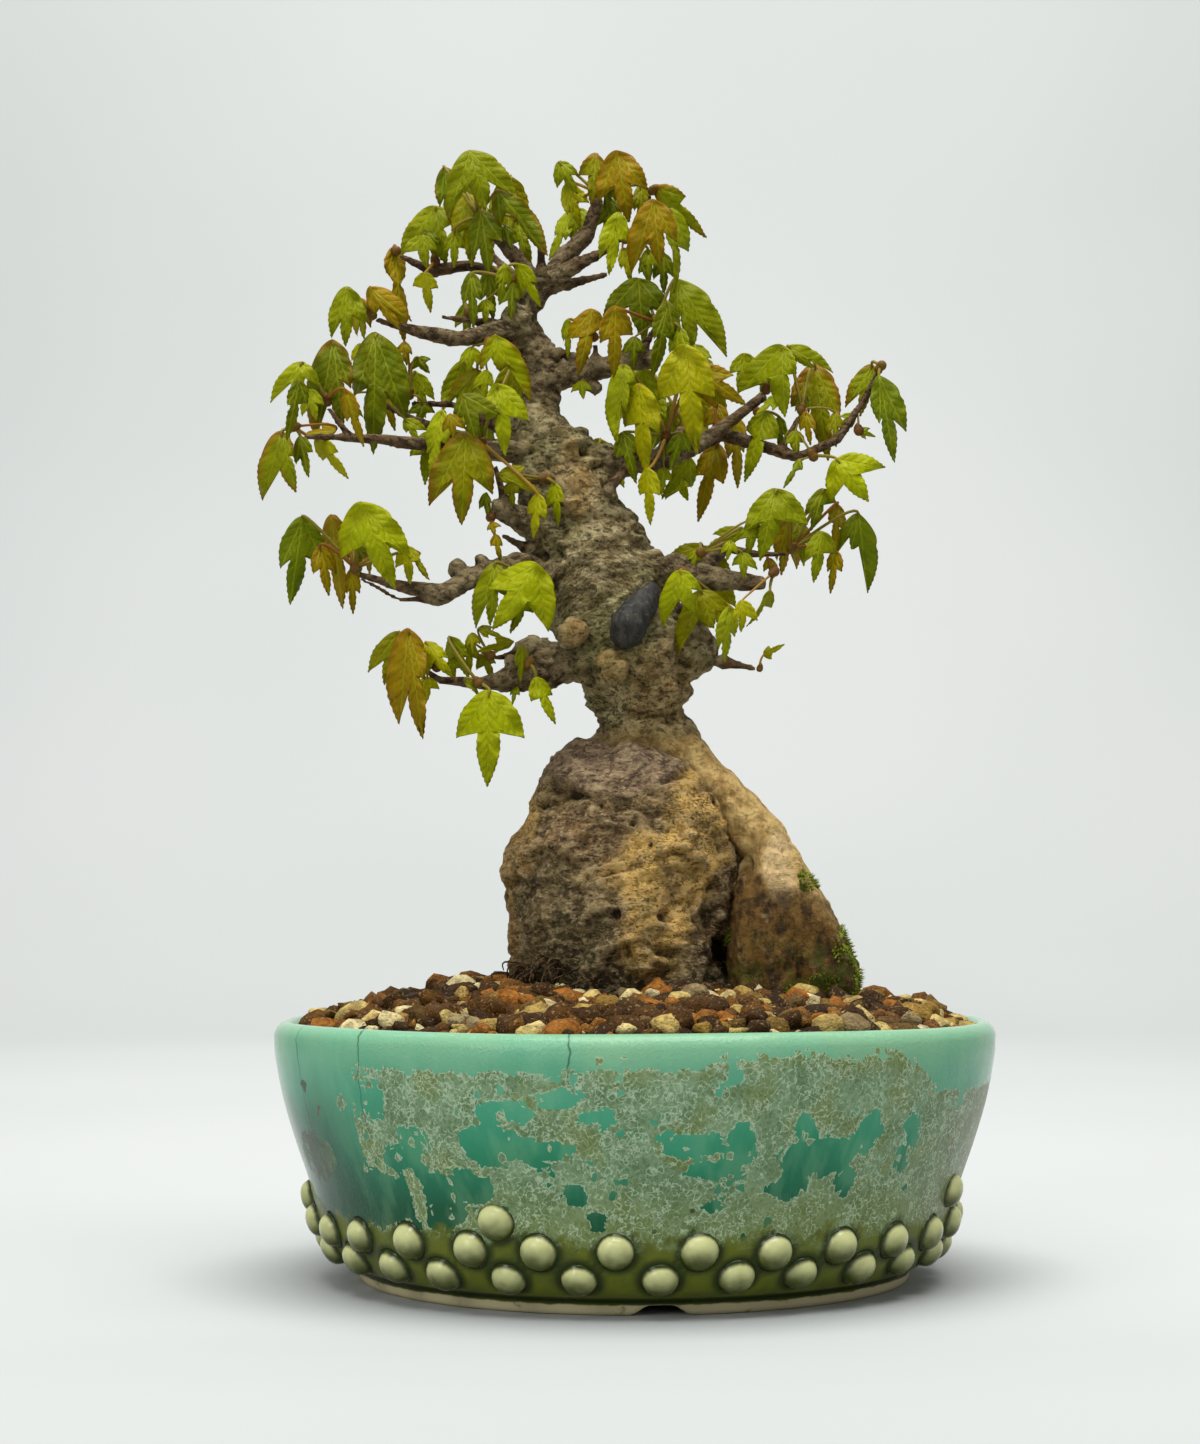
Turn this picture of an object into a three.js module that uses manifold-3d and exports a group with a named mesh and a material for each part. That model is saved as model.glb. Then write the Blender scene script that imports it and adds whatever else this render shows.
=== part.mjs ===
// Potted trident maple bonsai: a tree grown over a rock, in a round pot with rows of studs.
// Millimetres, +Z up. The origin is on the pot's axis under its foot, and the front faces -Y.
import * as THREE from "three";
import { mergeVertices } from "three/addons/utils/BufferGeometryUtils.js";
import Module from "manifold-3d";

const wasm = await Module();
wasm.setup();

// Driving dimensions.
const GAP = 0.35; // between two pieces that touch
const VIEW_DISTANCE = 676; // the front view's eye, from the pot's axis
const VIEW_HEIGHT = 93.5;

const POT_SEGMENTS = 28;
const POT_WALL = [
  [68.6, 0],
  [69.6, 3.8],
  [73, 5.2],
  [78.5, 13],
  [81.6, 24.4],
  [85, 34.3],
  [88, 44.3],
  [90, 54.2],
  [90.6, 59],
  [88.8, 63.4],
  [87, 64.5],
  [85.9, 62.5],
];
const WALL_THICKNESS = 4.6;
const INNER_WALL = [3, 5, 7, 8].map((level) => [
  POT_WALL[level][0] - WALL_THICKNESS,
  POT_WALL[level][1],
]);
const FOOT_INNER_RADIUS = 62;
const FLOOR_BOTTOM = 4.6;
const FLOOR_TOP = 9.4;
const FLOOR_RADIUS = 66;
const DRAIN_RADIUS = 9;
const FOOT_NOTCHES = { count: 3, first: 5, width: 14.3, height: 2.6 };

const STUD_COUNT = 28;
const STUD_RADIUS = 4.1;
const STUD_HEIGHT = 2.9;
const STUD_SINK = 1.1;
const STUD_ROWS = [
  { first: -2.45, height: 15.3 },
  { first: 3.98, height: 9 },
];
const LONE_STUDS = [
  [-22.6, 21.8],
  [69, 24.1],
  [-85, 20.4],
  [131, 22.5],
  [199, 20.9],
];

const MESH_PITCH = 7;
const MESH_BAR = 1.5;
const MESH_BARS = 4;
const MESH_THICKNESS = 0.9;
const CLIP_WIRE = 0.55;
const CLIP_FOOT = 6; // how far each end reaches past the drain hole
const CLIP_BEND = 1.2;
const MESH_CLEARANCE = 23; // the room round the drainage mesh under the soil
const CLIP_TOP = FLOOR_TOP + 1.5 * MESH_THICKNESS + 2 * GAP + CLIP_WIRE;

const SOIL_SEGMENTS = 28;
const SOIL_RADIUS = 84.8;
const SOIL_RINGS = [79.5, 71.5, 63.5, 55.5, 47.5, 39, 28];
const SOIL_EDGE_HEIGHT = 62.4;
const SOIL_MOUND = 9.2;
const SOIL_RISES = [
  [-37, 3],
  [58, 2],
];
const SOIL_RISE_SPREAD = 200;
const GRAIN_RELIEF = 1.3;

const LEAF_THICKNESS = 0.76;
const LEAF_ARCH = 0.1; // bow toward the viewer, as part of the length
const LEAF_FOLD = 0.45; // how far the side lobes fall back
const LEAF_NOTCH = 0.56; // the cut between two lobes, as part of the way to their tips' line
const LEAF_SHOULDER = { along: 0.42, aside: 0.17 }; // as parts of a side lobe's length
const LEAF_CENTRE = 0.42;
const LEAF_TURN = 0.6; // the widest range of a blade's turn about its length
const SLIM_LEAF = { breadth: 0.45, turn: 0.9 }; // a blade seen nearly edge on
const LEAF_COVER = 0.42; // how near two blades' middles lie when one covers the other
const DEPTH_STEPS = [0, 1, -1, 2, 3, -2, 4, 5, -3, 6, 7, -4, 8, -5, 10, -7, 12];
const LEAF_LAYER = 3.5; // depth between leaves that cover each other
const SMALL_LEAF = 9; // a plain blade
const MIDDLE_LEAF = 13; // three lobes without shoulders
const PETIOLE_RADIUS = 0.52;
const PETIOLE_KNEE = 1; // where it turns into the blade
const PETIOLE_RISE = 0.06; // as part of its span
const PETIOLE_SINK = 0.35; // where it starts in its bud, as part of the bud's radius
const PETIOLE_BOWS = [0.12, 0.3, -0.25, 0.5, 0.8]; // the first that passes everything clear
const BUD_RADIUS = 1.8;
const BUD_STEP = 0.25;
const BUD_STEPS = 11;

// A seeded draw, the same on every run.
function seededDraw(seed) {
  let state = seed;
  return () => {
    state = (state * 48271) % 2147483647;
    return state / 2147483647;
  };
}

// A point of the tree is read as seen from the front, x and z on the plane of the pot's axis,
// and then moved along the sight line to its depth behind that plane.
function seenAt(x, z, depth) {
  const spread = (VIEW_DISTANCE + depth) / VIEW_DISTANCE;
  return new THREE.Vector3(x * spread, depth, VIEW_HEIGHT + (z - VIEW_HEIGHT) * spread);
}

// Solids and meshes.
function solidOf(geometry) {
  const bare = geometry.clone();
  bare.deleteAttribute("normal");
  bare.deleteAttribute("uv");
  const merged = mergeVertices(bare, 1e-4);
  return new wasm.Manifold(
    new wasm.Mesh({
      numProp: 3,
      vertProperties: merged.attributes.position.array,
      triVerts: new Uint32Array(merged.index.array),
    }),
  );
}

function join(solids) {
  return wasm.Manifold.union(solids);
}

// The largest body of a solid, without the scraps that a cut leaves.
function mainBody(solid) {
  return solid.decompose().sort((a, b) => b.volume() - a.volume())[0];
}

function geometryOf(solid) {
  const mesh = solid.getMesh();
  const geometry = new THREE.BufferGeometry();
  geometry.setAttribute("position", new THREE.BufferAttribute(mesh.vertProperties, 3));
  geometry.setIndex(new THREE.BufferAttribute(mesh.triVerts, 1));
  geometry.computeVertexNormals();
  return geometry;
}

function pieceOf(name, solid, color, roughness) {
  const material = new THREE.MeshStandardMaterial({ color, roughness, metalness: 0 });
  const piece = new THREE.Mesh(geometryOf(solid), material);
  piece.name = name;
  return piece;
}

// A closed skin over rings of points that all have the same count.
function skinOf(rings) {
  const sides = rings[0].length;
  const positions = rings.flat().flatMap((point) => [point.x, point.y, point.z]);
  const faces = [];
  for (let ring = 0; ring + 1 < rings.length; ring++) {
    for (let side = 0; side < sides; side++) {
      const low = ring * sides + side;
      const lowNext = ring * sides + ((side + 1) % sides);
      faces.push(low, lowNext, lowNext + sides);
      faces.push(low, lowNext + sides, low + sides);
    }
  }
  const last = (rings.length - 1) * sides;
  for (let side = 1; side + 1 < sides; side++) {
    faces.push(0, side + 1, side);
    faces.push(last, last + side, last + side + 1);
  }
  const geometry = new THREE.BufferGeometry();
  geometry.setAttribute("position", new THREE.Float32BufferAttribute(positions, 3));
  geometry.setIndex(faces);
  return geometry;
}

// A tapered tube through points with a radius each, closed at both ends.
function taperedTube(points, radii, sides, step) {
  const curve = new THREE.CatmullRomCurve3(points, false, "centripetal");
  const steps = Math.max(1, Math.round(curve.getLength() / step));
  const frames = curve.computeFrenetFrames(steps);
  const rings = [];
  for (let i = 0; i <= steps; i++) {
    const centre = curve.getPointAt(i / steps);
    const along = curve.getUtoTmapping(i / steps) * (points.length - 1);
    const from = Math.min(Math.floor(along), points.length - 2);
    const radius = THREE.MathUtils.lerp(radii[from], radii[from + 1], along - from);
    const ring = [];
    for (let side = 0; side < sides; side++) {
      const turn = (2 * Math.PI * side) / sides;
      const point = centre.clone();
      point.addScaledVector(frames.normals[i], radius * Math.cos(turn));
      point.addScaledVector(frames.binormals[i], radius * Math.sin(turn));
      ring.push(point);
    }
    rings.push(ring);
  }
  return skinOf(rings);
}

// A thin tube that turns at each of its points.
function straightTube(points, radius, sides) {
  const side = new THREE.Vector3();
  const rings = points.map((point, i) => {
    const ahead = points[Math.min(i + 1, points.length - 1)].clone();
    const along = ahead.sub(points[Math.max(i - 1, 0)]).normalize();
    if (i === 0) {
      side.set(along.z, along.x, along.y);
    }
    side.addScaledVector(along, -side.dot(along)).normalize();
    const other = along.clone().cross(side);
    return Array.from({ length: sides }, (_, corner) => {
      const turn = (2 * Math.PI * corner) / sides;
      const place = point.clone().addScaledVector(side, radius * Math.cos(turn));
      return place.addScaledVector(other, radius * Math.sin(turn));
    });
  });
  return skinOf(rings);
}

// Wood through rows of [x, z, depth, radius] as seen from the front.
function limb(rows, sides, step, grow = 0) {
  const points = rows.map(([x, z, depth]) => seenAt(x, z, depth));
  const radii = rows.map((row) => row[3] + grow);
  return solidOf(taperedTube(points, radii, sides, step));
}

function knob([x, z, depth, radius], detail, grow = 0) {
  const ball = new THREE.IcosahedronGeometry(radius + grow, detail);
  const centre = seenAt(x, z, depth);
  return solidOf(ball.translate(centre.x, centre.y, centre.z));
}

function budSolid([x, z, depth], grow = 0) {
  const bud = new THREE.OctahedronGeometry(BUD_RADIUS + grow);
  const centre = seenAt(x, z, depth);
  return solidOf(bud.translate(centre.x, centre.y, centre.z));
}

// The pot: one thrown and fired piece with its studs, foot notches and drain hole.
function potProfile() {
  const outline = [
    ...POT_WALL,
    ...INNER_WALL.toReversed(),
    [FLOOR_RADIUS, FLOOR_TOP],
    [DRAIN_RADIUS, FLOOR_TOP],
    [DRAIN_RADIUS, FLOOR_BOTTOM],
    [FOOT_INNER_RADIUS, FLOOR_BOTTOM],
    [FOOT_INNER_RADIUS + 1.5, 0],
    POT_WALL[0],
  ];
  return outline.map(([radius, height]) => new THREE.Vector2(radius, height));
}

function wallRadiusAt(height) {
  const above = POT_WALL.findIndex((point) => point[1] >= height);
  const [lowRadius, low] = POT_WALL[above - 1];
  const [highRadius, high] = POT_WALL[above];
  return THREE.MathUtils.mapLinear(height, low, high, lowRadius, highRadius);
}

// A direction round the pot, in degrees to the right of the front.
function roundPot(degrees, radius, height) {
  const turn = THREE.MathUtils.degToRad(degrees);
  return new THREE.Vector3(radius * Math.sin(turn), -radius * Math.cos(turn), height);
}

function stud(degrees, height) {
  const dome = new THREE.IcosahedronGeometry(STUD_RADIUS, 0);
  dome.scale(1, (STUD_HEIGHT + STUD_SINK) / STUD_RADIUS, 1);
  dome.rotateZ(THREE.MathUtils.degToRad(degrees));
  const centre = roundPot(degrees, wallRadiusAt(height) - STUD_SINK, height);
  return solidOf(dome.translate(centre.x, centre.y, centre.z));
}

function footNotch(degrees) {
  const arch = new THREE.CylinderGeometry(1, 1, 2 * (POT_WALL[1][0] - FOOT_INNER_RADIUS), 10);
  arch.scale(FOOT_NOTCHES.width / 2, 1, FOOT_NOTCHES.height);
  arch.rotateZ(THREE.MathUtils.degToRad(degrees));
  const centre = roundPot(degrees, FOOT_INNER_RADIUS + 4, 0);
  return solidOf(arch.translate(centre.x, centre.y, centre.z));
}

function buildPot() {
  const shell = new THREE.LatheGeometry(potProfile(), POT_SEGMENTS);
  shell.rotateX(Math.PI / 2);
  shell.rotateZ(THREE.MathUtils.degToRad(STUD_ROWS[0].first));
  const studs = STUD_ROWS.flatMap(({ first, height }) =>
    Array.from({ length: STUD_COUNT }, (_, i) => stud(first + (360 / STUD_COUNT) * i, height)),
  );
  const lone = LONE_STUDS.map(([degrees, height]) => stud(degrees, height));
  const notches = Array.from({ length: FOOT_NOTCHES.count }, (_, i) =>
    footNotch(FOOT_NOTCHES.first + (360 / FOOT_NOTCHES.count) * i),
  );
  return join([solidOf(shell), ...studs, ...lone]).subtract(join(notches));
}

// The mesh over the drain hole, of crossing bars, and the wire clip that holds it down.
function buildDrainMesh() {
  const size = MESH_PITCH * (MESH_BARS - 1) + MESH_BAR;
  const low = FLOOR_TOP + GAP + MESH_THICKNESS / 2;
  const high = low + MESH_THICKNESS / 2;
  const bars = [];
  for (let i = 0; i < MESH_BARS; i++) {
    const place = (i - (MESH_BARS - 1) / 2) * MESH_PITCH;
    const along = new THREE.BoxGeometry(size, MESH_BAR, MESH_THICKNESS);
    const across = new THREE.BoxGeometry(MESH_BAR, size, MESH_THICKNESS);
    bars.push(solidOf(along.translate(0, place, low)));
    bars.push(solidOf(across.translate(place, 0, high)));
  }
  return join(bars);
}

function buildMeshClip() {
  const under = FLOOR_BOTTOM - GAP - CLIP_WIRE;
  const half = [
    [DRAIN_RADIUS + CLIP_FOOT, under],
    [MESH_PITCH + CLIP_BEND, under],
    [MESH_PITCH, under + CLIP_BEND],
    [MESH_PITCH, CLIP_TOP - CLIP_BEND],
    [MESH_PITCH - CLIP_BEND, CLIP_TOP],
  ];
  const rows = [...half, ...half.map(([x, z]) => [-x, z]).reverse()];
  const points = rows.map(([x, z]) => new THREE.Vector3(x, 0, z));
  return solidOf(taperedTube(points, rows.map(() => CLIP_WIRE), 5, 3));
}

// The rock, from levels of [height, left, right, front, back] as seen.
const ROCK_LEVELS = [
  [44, -26, 22, -20, 22],
  [60, -29, 24, -25, 27],
  [72, -30, 25, -28, 29],
  [82, -32, 25, -29, 29],
  [92, -34, 26, -28, 28],
  [102, -34.8, 28, -26, 27],
  [110, -31.5, 28, -24, 25],
  [118, -26.8, 26, -21, 22],
  [125, -23.5, 20, -18, 19],
  [130, -21, 15.5, -14, 15],
  [134, -15, 11, -8, 9],
];
const ROCK_SIDES = 18;

const ROCK_CHIP = 0.07;

function buildRock(grow = 0) {
  const draw = seededDraw(7);
  const rings = ROCK_LEVELS.map(([z, left, right, front, back], level) => {
    const ring = [];
    for (let side = 0; side < ROCK_SIDES; side++) {
      const turn = (2 * Math.PI * (side + 0.5 * (level % 2))) / ROCK_SIDES;
      const chip = 1 - ROCK_CHIP * draw() * Math.abs(Math.sin(turn));
      const reachX = (right - left) / 2 + grow;
      const reachY = (back - front) / 2 + grow;
      const x = (left + right) / 2 + reachX * Math.cos(turn) * chip;
      const depth = (front + back) / 2 + reachY * Math.sin(turn) * chip;
      const lift = level === 0 ? -grow : level === ROCK_LEVELS.length - 1 ? grow : 0;
      ring.push(seenAt(x, z + lift, depth));
    }
    return ring;
  });
  return solidOf(skinOf(rings));
}

// The tree's wood, grown as one piece: roots over the rock, trunk, limbs and twigs.
const TRUNK = [
  [3, 131, 6, 9],
  [1, 140, 4, 11],
  [0, 147, 2, 13.5],
  [1, 153, 1, 16],
  [-2, 160, 0, 18],
  [-6, 168, 0, 15.5],
  [-8, 176, 1, 15],
  [-12, 184, 2, 14.5],
  [-16, 192, 3, 13.5],
  [-18, 200, 3, 12.5],
  [-21, 208, 4, 11],
  [-23, 214, 4, 9],
  [-24, 219, 4, 5.6],
  [-22, 224, 4, 5],
  [-24, 230, 4, 4.8],
  [-27, 236, 4, 4.8],
  [-28.5, 241, 4, 5],
  [-26, 247, 4, 3.8],
  [-23, 252, 4, 3],
];
const ROOTS = {
  right: [
    [6, 138, 3, 8],
    [15, 129.5, 0, 6.5],
    [21.5, 121.5, -2, 6],
    [28, 114.5, -3, 6.8],
    [34, 106, -4, 7.5],
    [37, 97, -4, 8.8],
    [40.5, 88, -3, 10.5],
    [44, 79, -2, 12],
    [46, 70, -1, 13],
    [47, 60, 0, 11],
    [47, 50, 0, 7],
  ],
  rightInner: [
    [32, 104, -7, 5],
    [31, 95, -9, 7],
    [31.5, 84, -10, 8.5],
    [33, 72, -10, 9.5],
    [34, 58, -8, 7],
  ],
  backLeft: [
    [-3, 136, 9, 6.5],
    [-10, 130, 18, 5],
    [-17, 119, 25, 4.8],
    [-20, 105, 30, 4.6],
    [-21, 88, 33, 5],
    [-23, 72, 34, 5.4],
    [-24, 55, 34, 4],
  ],
  backRight: [
    [7, 136, 9, 6.5],
    [9, 128, 18, 5],
    [10, 113, 26, 5],
    [9, 96, 31, 5],
    [10, 80, 33, 5.8],
    [12, 58, 34, 4.5],
  ],
};
const LIMBS = {
  crownRight: [
    [-23.5, 248.6, 4.4, 2.5],
    [-17, 259.5, 5, 2.4],
    [-12, 264, 6, 2],
    [-9.5, 268, 6, 1.9],
    [-9.3, 273, 6, 1.5],
  ],
  crownMiddle: [
    [-23.4, 250.4, 2.6, 2.1],
    [-15, 256, 1, 1.9],
    [-11, 258.6, -1, 1.5],
    [-7, 260, -2, 1.2],
    [-3, 261.5, -1, 1],
    [1, 268, 3, 0.9],
    [4, 274, 2, 0.8],
  ],
  crownLow: [
    [-21, 250, 4, 1.8],
    [-15, 250.3, 6, 1.5],
    [-11, 252, 8, 1.2],
    [-7, 253.6, 10, 1],
  ],
  crownStub: [
    [-23.4, 249, 2, 1.8],
    [-23, 257, -1, 1.5],
    [-24, 260.5, -1, 1.2],
  ],
  crownLeft: [
    [-24, 249.5, 3.4, 2.5],
    [-28, 257, 2, 2.2],
    [-33, 260, 1, 1.9],
    [-36, 263.5, 1, 1.5],
    [-39, 267, 0, 1.1],
  ],
  crownFarLeft: [
    [-26, 250, 5, 2.2],
    [-35, 254, 8, 1.7],
    [-43, 256, 10, 1.5],
    [-48, 256, 10, 1.7],
    [-51, 254.6, 10, 1.8],
    [-54, 254.6, 9, 1.7],
    [-57, 256, 8, 1.3],
    [-60, 258.5, 7, 1],
  ],
  crownSpur: [
    [-27, 247, 1, 1.9],
    [-31, 251.5, -5, 1],
  ],
  upperLeft: [
    [-27, 240, 3, 4.4],
    [-31, 240, -1, 3.7],
    [-36, 238.5, -4, 2.8],
    [-40, 235.8, -6, 2.3],
    [-43, 236, -7, 2.1],
    [-47, 238, -8, 2],
    [-49.3, 239.4, -8, 2.4],
    [-52, 238.2, -9, 1.7],
    [-59, 240, -10, 1.3],
    [-62, 239.2, -11, 1.3],
    [-66, 242, -12, 0.9],
  ],
  upperLeftDead: [
    [-33, 240.5, 0, 1.6],
    [-40, 241.6, -1, 1.1],
    [-49.3, 242.7, -2, 0.8],
  ],
  longLeft: [
    [-24, 208, 1, 4],
    [-31, 208, -4, 2.8],
    [-42, 209, -8, 2],
    [-52, 210, -12, 1.7],
    [-62, 210.8, -17, 1.4],
    [-72, 212.5, -24, 1.3],
    [-77, 211, -29, 1.1],
    [-84, 212, -33, 0.9],
  ],
  longLeftFork: [
    [-73, 212.7, -25, 1.2],
    [-76, 216, -25, 1],
    [-78, 219.5, -24, 0.9],
  ],
  thinLeft: [
    [-27, 210, 3, 2.2],
    [-36, 215, 4, 1.6],
    [-46, 220.2, 4, 1.2],
    [-54, 219.7, 3, 1],
    [-57, 220.5, 2, 0.9],
  ],
  risingLeft: [
    [-29, 207, 0, 2.4],
    [-42, 211, 1, 1.7],
    [-51, 214.5, -2, 1.4],
    [-59, 217.5, -4, 1.3],
    [-66, 221.5, -6, 1],
  ],
  stubLeft: [
    [-25, 189, -3, 3.4],
    [-31, 192, -8, 2.4],
    [-35.5, 194, -11, 2.1],
  ],
  stubLeftUpright: [
    [-32, 192, -9, 1.6],
    [-34, 199, -10, 1.2],
    [-35.5, 204.5, -9, 1],
  ],
  twigLeft: [
    [-21, 180, -2, 2.4],
    [-29, 184, -7, 1.3],
    [-34, 187, -8, 0.8],
  ],
  lowerLeft: [
    [-20, 176, -4, 5],
    [-28, 179, -8, 3.5],
    [-34, 177.5, -11, 3],
    [-42, 176.4, -14, 2.9],
    [-46, 173.5, -15, 2.4],
    [-50, 171.7, -16, 2.1],
    [-59, 173.7, -18, 1.5],
    [-64, 175, -19, 1.3],
    [-70, 176.8, -20, 1],
  ],
  lowerLeftThin: [
    [-48, 171, -16, 1.5],
    [-56, 170, -14, 0.9],
    [-62, 171, -13, 0.8],
    [-70, 176, -17, 0.8],
  ],
  lowestLeft: [
    [-12, 156, -3, 7],
    [-20, 154, -8, 5],
    [-30, 150, -14, 3.4],
    [-34, 148, -16, 2.7],
    [-38, 149, -17, 1.5],
    [-48, 149.8, -18, 1.2],
    [-52, 150.5, -18, 1.1],
    [-58, 156, -18, 0.8],
  ],
  lowestLeftHook: [
    [-32, 149, -16, 2.2],
    [-33, 153, -16, 1.9],
    [-31, 155.5, -15, 1.5],
  ],
  lowestLeftTwig: [
    [-22, 157, -9, 1.8],
    [-30, 157, -12, 1.1],
    [-36, 155.5, -14, 0.9],
  ],
  lowestRight: [
    [16, 156, -3, 2.4],
    [24, 154, -5, 1.1],
    [31, 152.7, -6, 0.8],
  ],
  lowerRight: [
    [0, 178, -3, 6],
    [6, 177.5, -6, 4.4],
    [12, 178, -8, 3.5],
    [18, 176.5, -10, 3],
    [29, 174, -12, 2],
    [33, 174.5, -12, 1.5],
  ],
  lowerRightUpper: [
    [16, 177.5, -7, 2.4],
    [25, 185, -5, 1.8],
    [29, 183, -5, 1.6],
    [33, 180.5, -6, 1.3],
    [39, 182, -7, 0.8],
  ],
  longRight: [
    [-14, 206, 2, 6],
    [-8, 206, 0, 4.3],
    [5, 205.5, -4, 2.7],
    [10, 206, -4, 2.1],
    [19, 212, -3, 1.6],
    [33, 222.5, 1, 1.3],
  ],
  longRightSpur: [
    [7, 206, -4, 1.9],
    [8, 210.5, -6, 1.2],
  ],
  farRight: [
    [13, 208.5, -1, 2.1],
    [21, 212.5, 2, 1.9],
    [27, 212, 1, 1.8],
    [36, 208, -4, 1.6],
    [44, 207, -6, 1.5],
    [52, 211.5, -6, 1.4],
    [57, 219, -5, 1.2],
    [63, 230, -5, 1],
  ],
  farRightTwig: [
    [37, 208, -4, 1.2],
    [40, 214, -3, 1],
    [42, 217.5, -4, 0.9],
  ],
  graft: [
    [-10, 191, -8, 1.9],
    [-7.5, 197, -9, 1.5],
    [-4, 202, -8, 1.4],
    [0, 205.5, -5, 1.4],
  ],
  upperRight: [
    [-21, 227, 3, 3.6],
    [-13, 228.3, 0, 2.7],
    [-8, 230, -2, 2.3],
    [2, 231.5, -5, 2.3],
    [5, 232, -5, 1.9],
  ],
  upperRightStub: [
    [-14, 227.5, -1, 2],
    [-9, 223.7, -2, 1.6],
  ],
  upperRightTwig: [
    [1, 232, -5, 1.6],
    [3, 236.5, -5, 1.1],
    [5, 239.5, -5, 0.9],
  ],
  upperRightThorn: [
    [-10, 229.5, -2, 1.4],
    [-10, 236, -3, 0.8],
  ],
  upperRightArch: [
    [-26, 233, 3, 2],
    [-21, 233.5, 1, 1.3],
    [-16, 233, 0, 1.3],
    [-11, 230, -1, 1.4],
  ],
  backTrunk: [
    [-10, 180, 10, 5],
    [-14, 187, 22, 3],
    [-17, 192, 36, 1.3],
  ],
  backLeft: [
    [-22, 210, 9, 3.4],
    [-30, 215, 22, 2],
    [-36, 217, 30, 1.3],
  ],
  backRight: [
    [1, 164, 10, 5],
    [8, 166, 24, 2.6],
    [14, 168, 32, 1.4],
  ],
  backCrown: [
    [-26, 245, 6, 2.6],
    [-30, 252, 16, 1.6],
    [-36, 258, 24, 1.1],
  ],
  backUpper: [
    [4, 205.5, -2, 2.6],
    [9, 209, 12, 1.7],
    [12, 214, 22, 1.2],
  ],
};
const KNOBS = [
  [12, 158, -1, 9],
  [-16, 162, -14.5, 3.4],
  [-6, 153, -14, 4.6],
  [-16, 210, -4, 4.6],
  [-15, 200, -7, 3.6],
  [-29, 241.5, 0, 5.2],
  [-45, 178.3, -14, 2.5],
  [-39, 180, -12, 2],
  [8.5, 148.5, -9, 2.6],
  [-50, 171.3, -16, 2.6],
];

function treeSolids(grow = 0) {
  const trunk = limb(TRUNK, 10, 8.5, grow);
  const roots = Object.values(ROOTS).map((rows) => limb(rows, 7, 13, grow));
  const limbs = Object.values(LIMBS).map((rows) => limb(rows, rows[0][3] > 2.5 ? 5 : 4, 11, grow));
  const knobs = KNOBS.map((row) => knob(row, row[3] > 5 ? 1 : 0, grow));
  return [trunk, ...roots, ...limbs, ...knobs];
}

// Wound putty on the trunk, seated on the bark.
const PUTTY = [
  [-2.5, 160.5, -16.5, 3.4],
  [-1.5, 164, -16.6, 5.4],
  [2.5, 169.5, -13.6, 4.2],
  [4.3, 173, -12, 2.4],
];

// The soil mound, which rises a little more beside the rock and the right root, with the
// relief of its grains.
function soilHeight(x, y) {
  const out = Math.min(Math.hypot(x, y) / SOIL_RADIUS, 1);
  const rises = SOIL_RISES.map(
    ([place, height]) => height * Math.exp(-((x - place) ** 2 + y ** 2) / SOIL_RISE_SPREAD),
  );
  return SOIL_EDGE_HEIGHT + SOIL_MOUND * (1 - out ** 2.4) + rises[0] + rises[1];
}

function buildSoil() {
  const draw = seededDraw(21);
  const bed = [
    [MESH_CLEARANCE, CLIP_TOP + CLIP_WIRE + 3 * GAP],
    [MESH_CLEARANCE + 3, FLOOR_TOP + GAP],
    [FLOOR_RADIUS - GAP, FLOOR_TOP + GAP],
    ...INNER_WALL.map(([radius, height]) => [radius - 2 * GAP, height]),
  ];
  const ringAt = (radius, heightAt) =>
    Array.from({ length: SOIL_SEGMENTS }, (_, side) => {
      const turn = (2 * Math.PI * side) / SOIL_SEGMENTS;
      const x = radius * Math.cos(turn);
      const y = radius * Math.sin(turn);
      return new THREE.Vector3(x, y, heightAt(x, y));
    });
  const under = bed.map(([radius, height]) => ringAt(radius, () => height));
  const edge = ringAt(SOIL_RADIUS, () => SOIL_EDGE_HEIGHT - 1);
  const top = SOIL_RINGS.map((radius) =>
    ringAt(radius, (x, y) => soilHeight(x, y) + GRAIN_RELIEF * (2 * draw() - 1)),
  );
  return solidOf(skinOf([...under, edge, ...top]));
}

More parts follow.
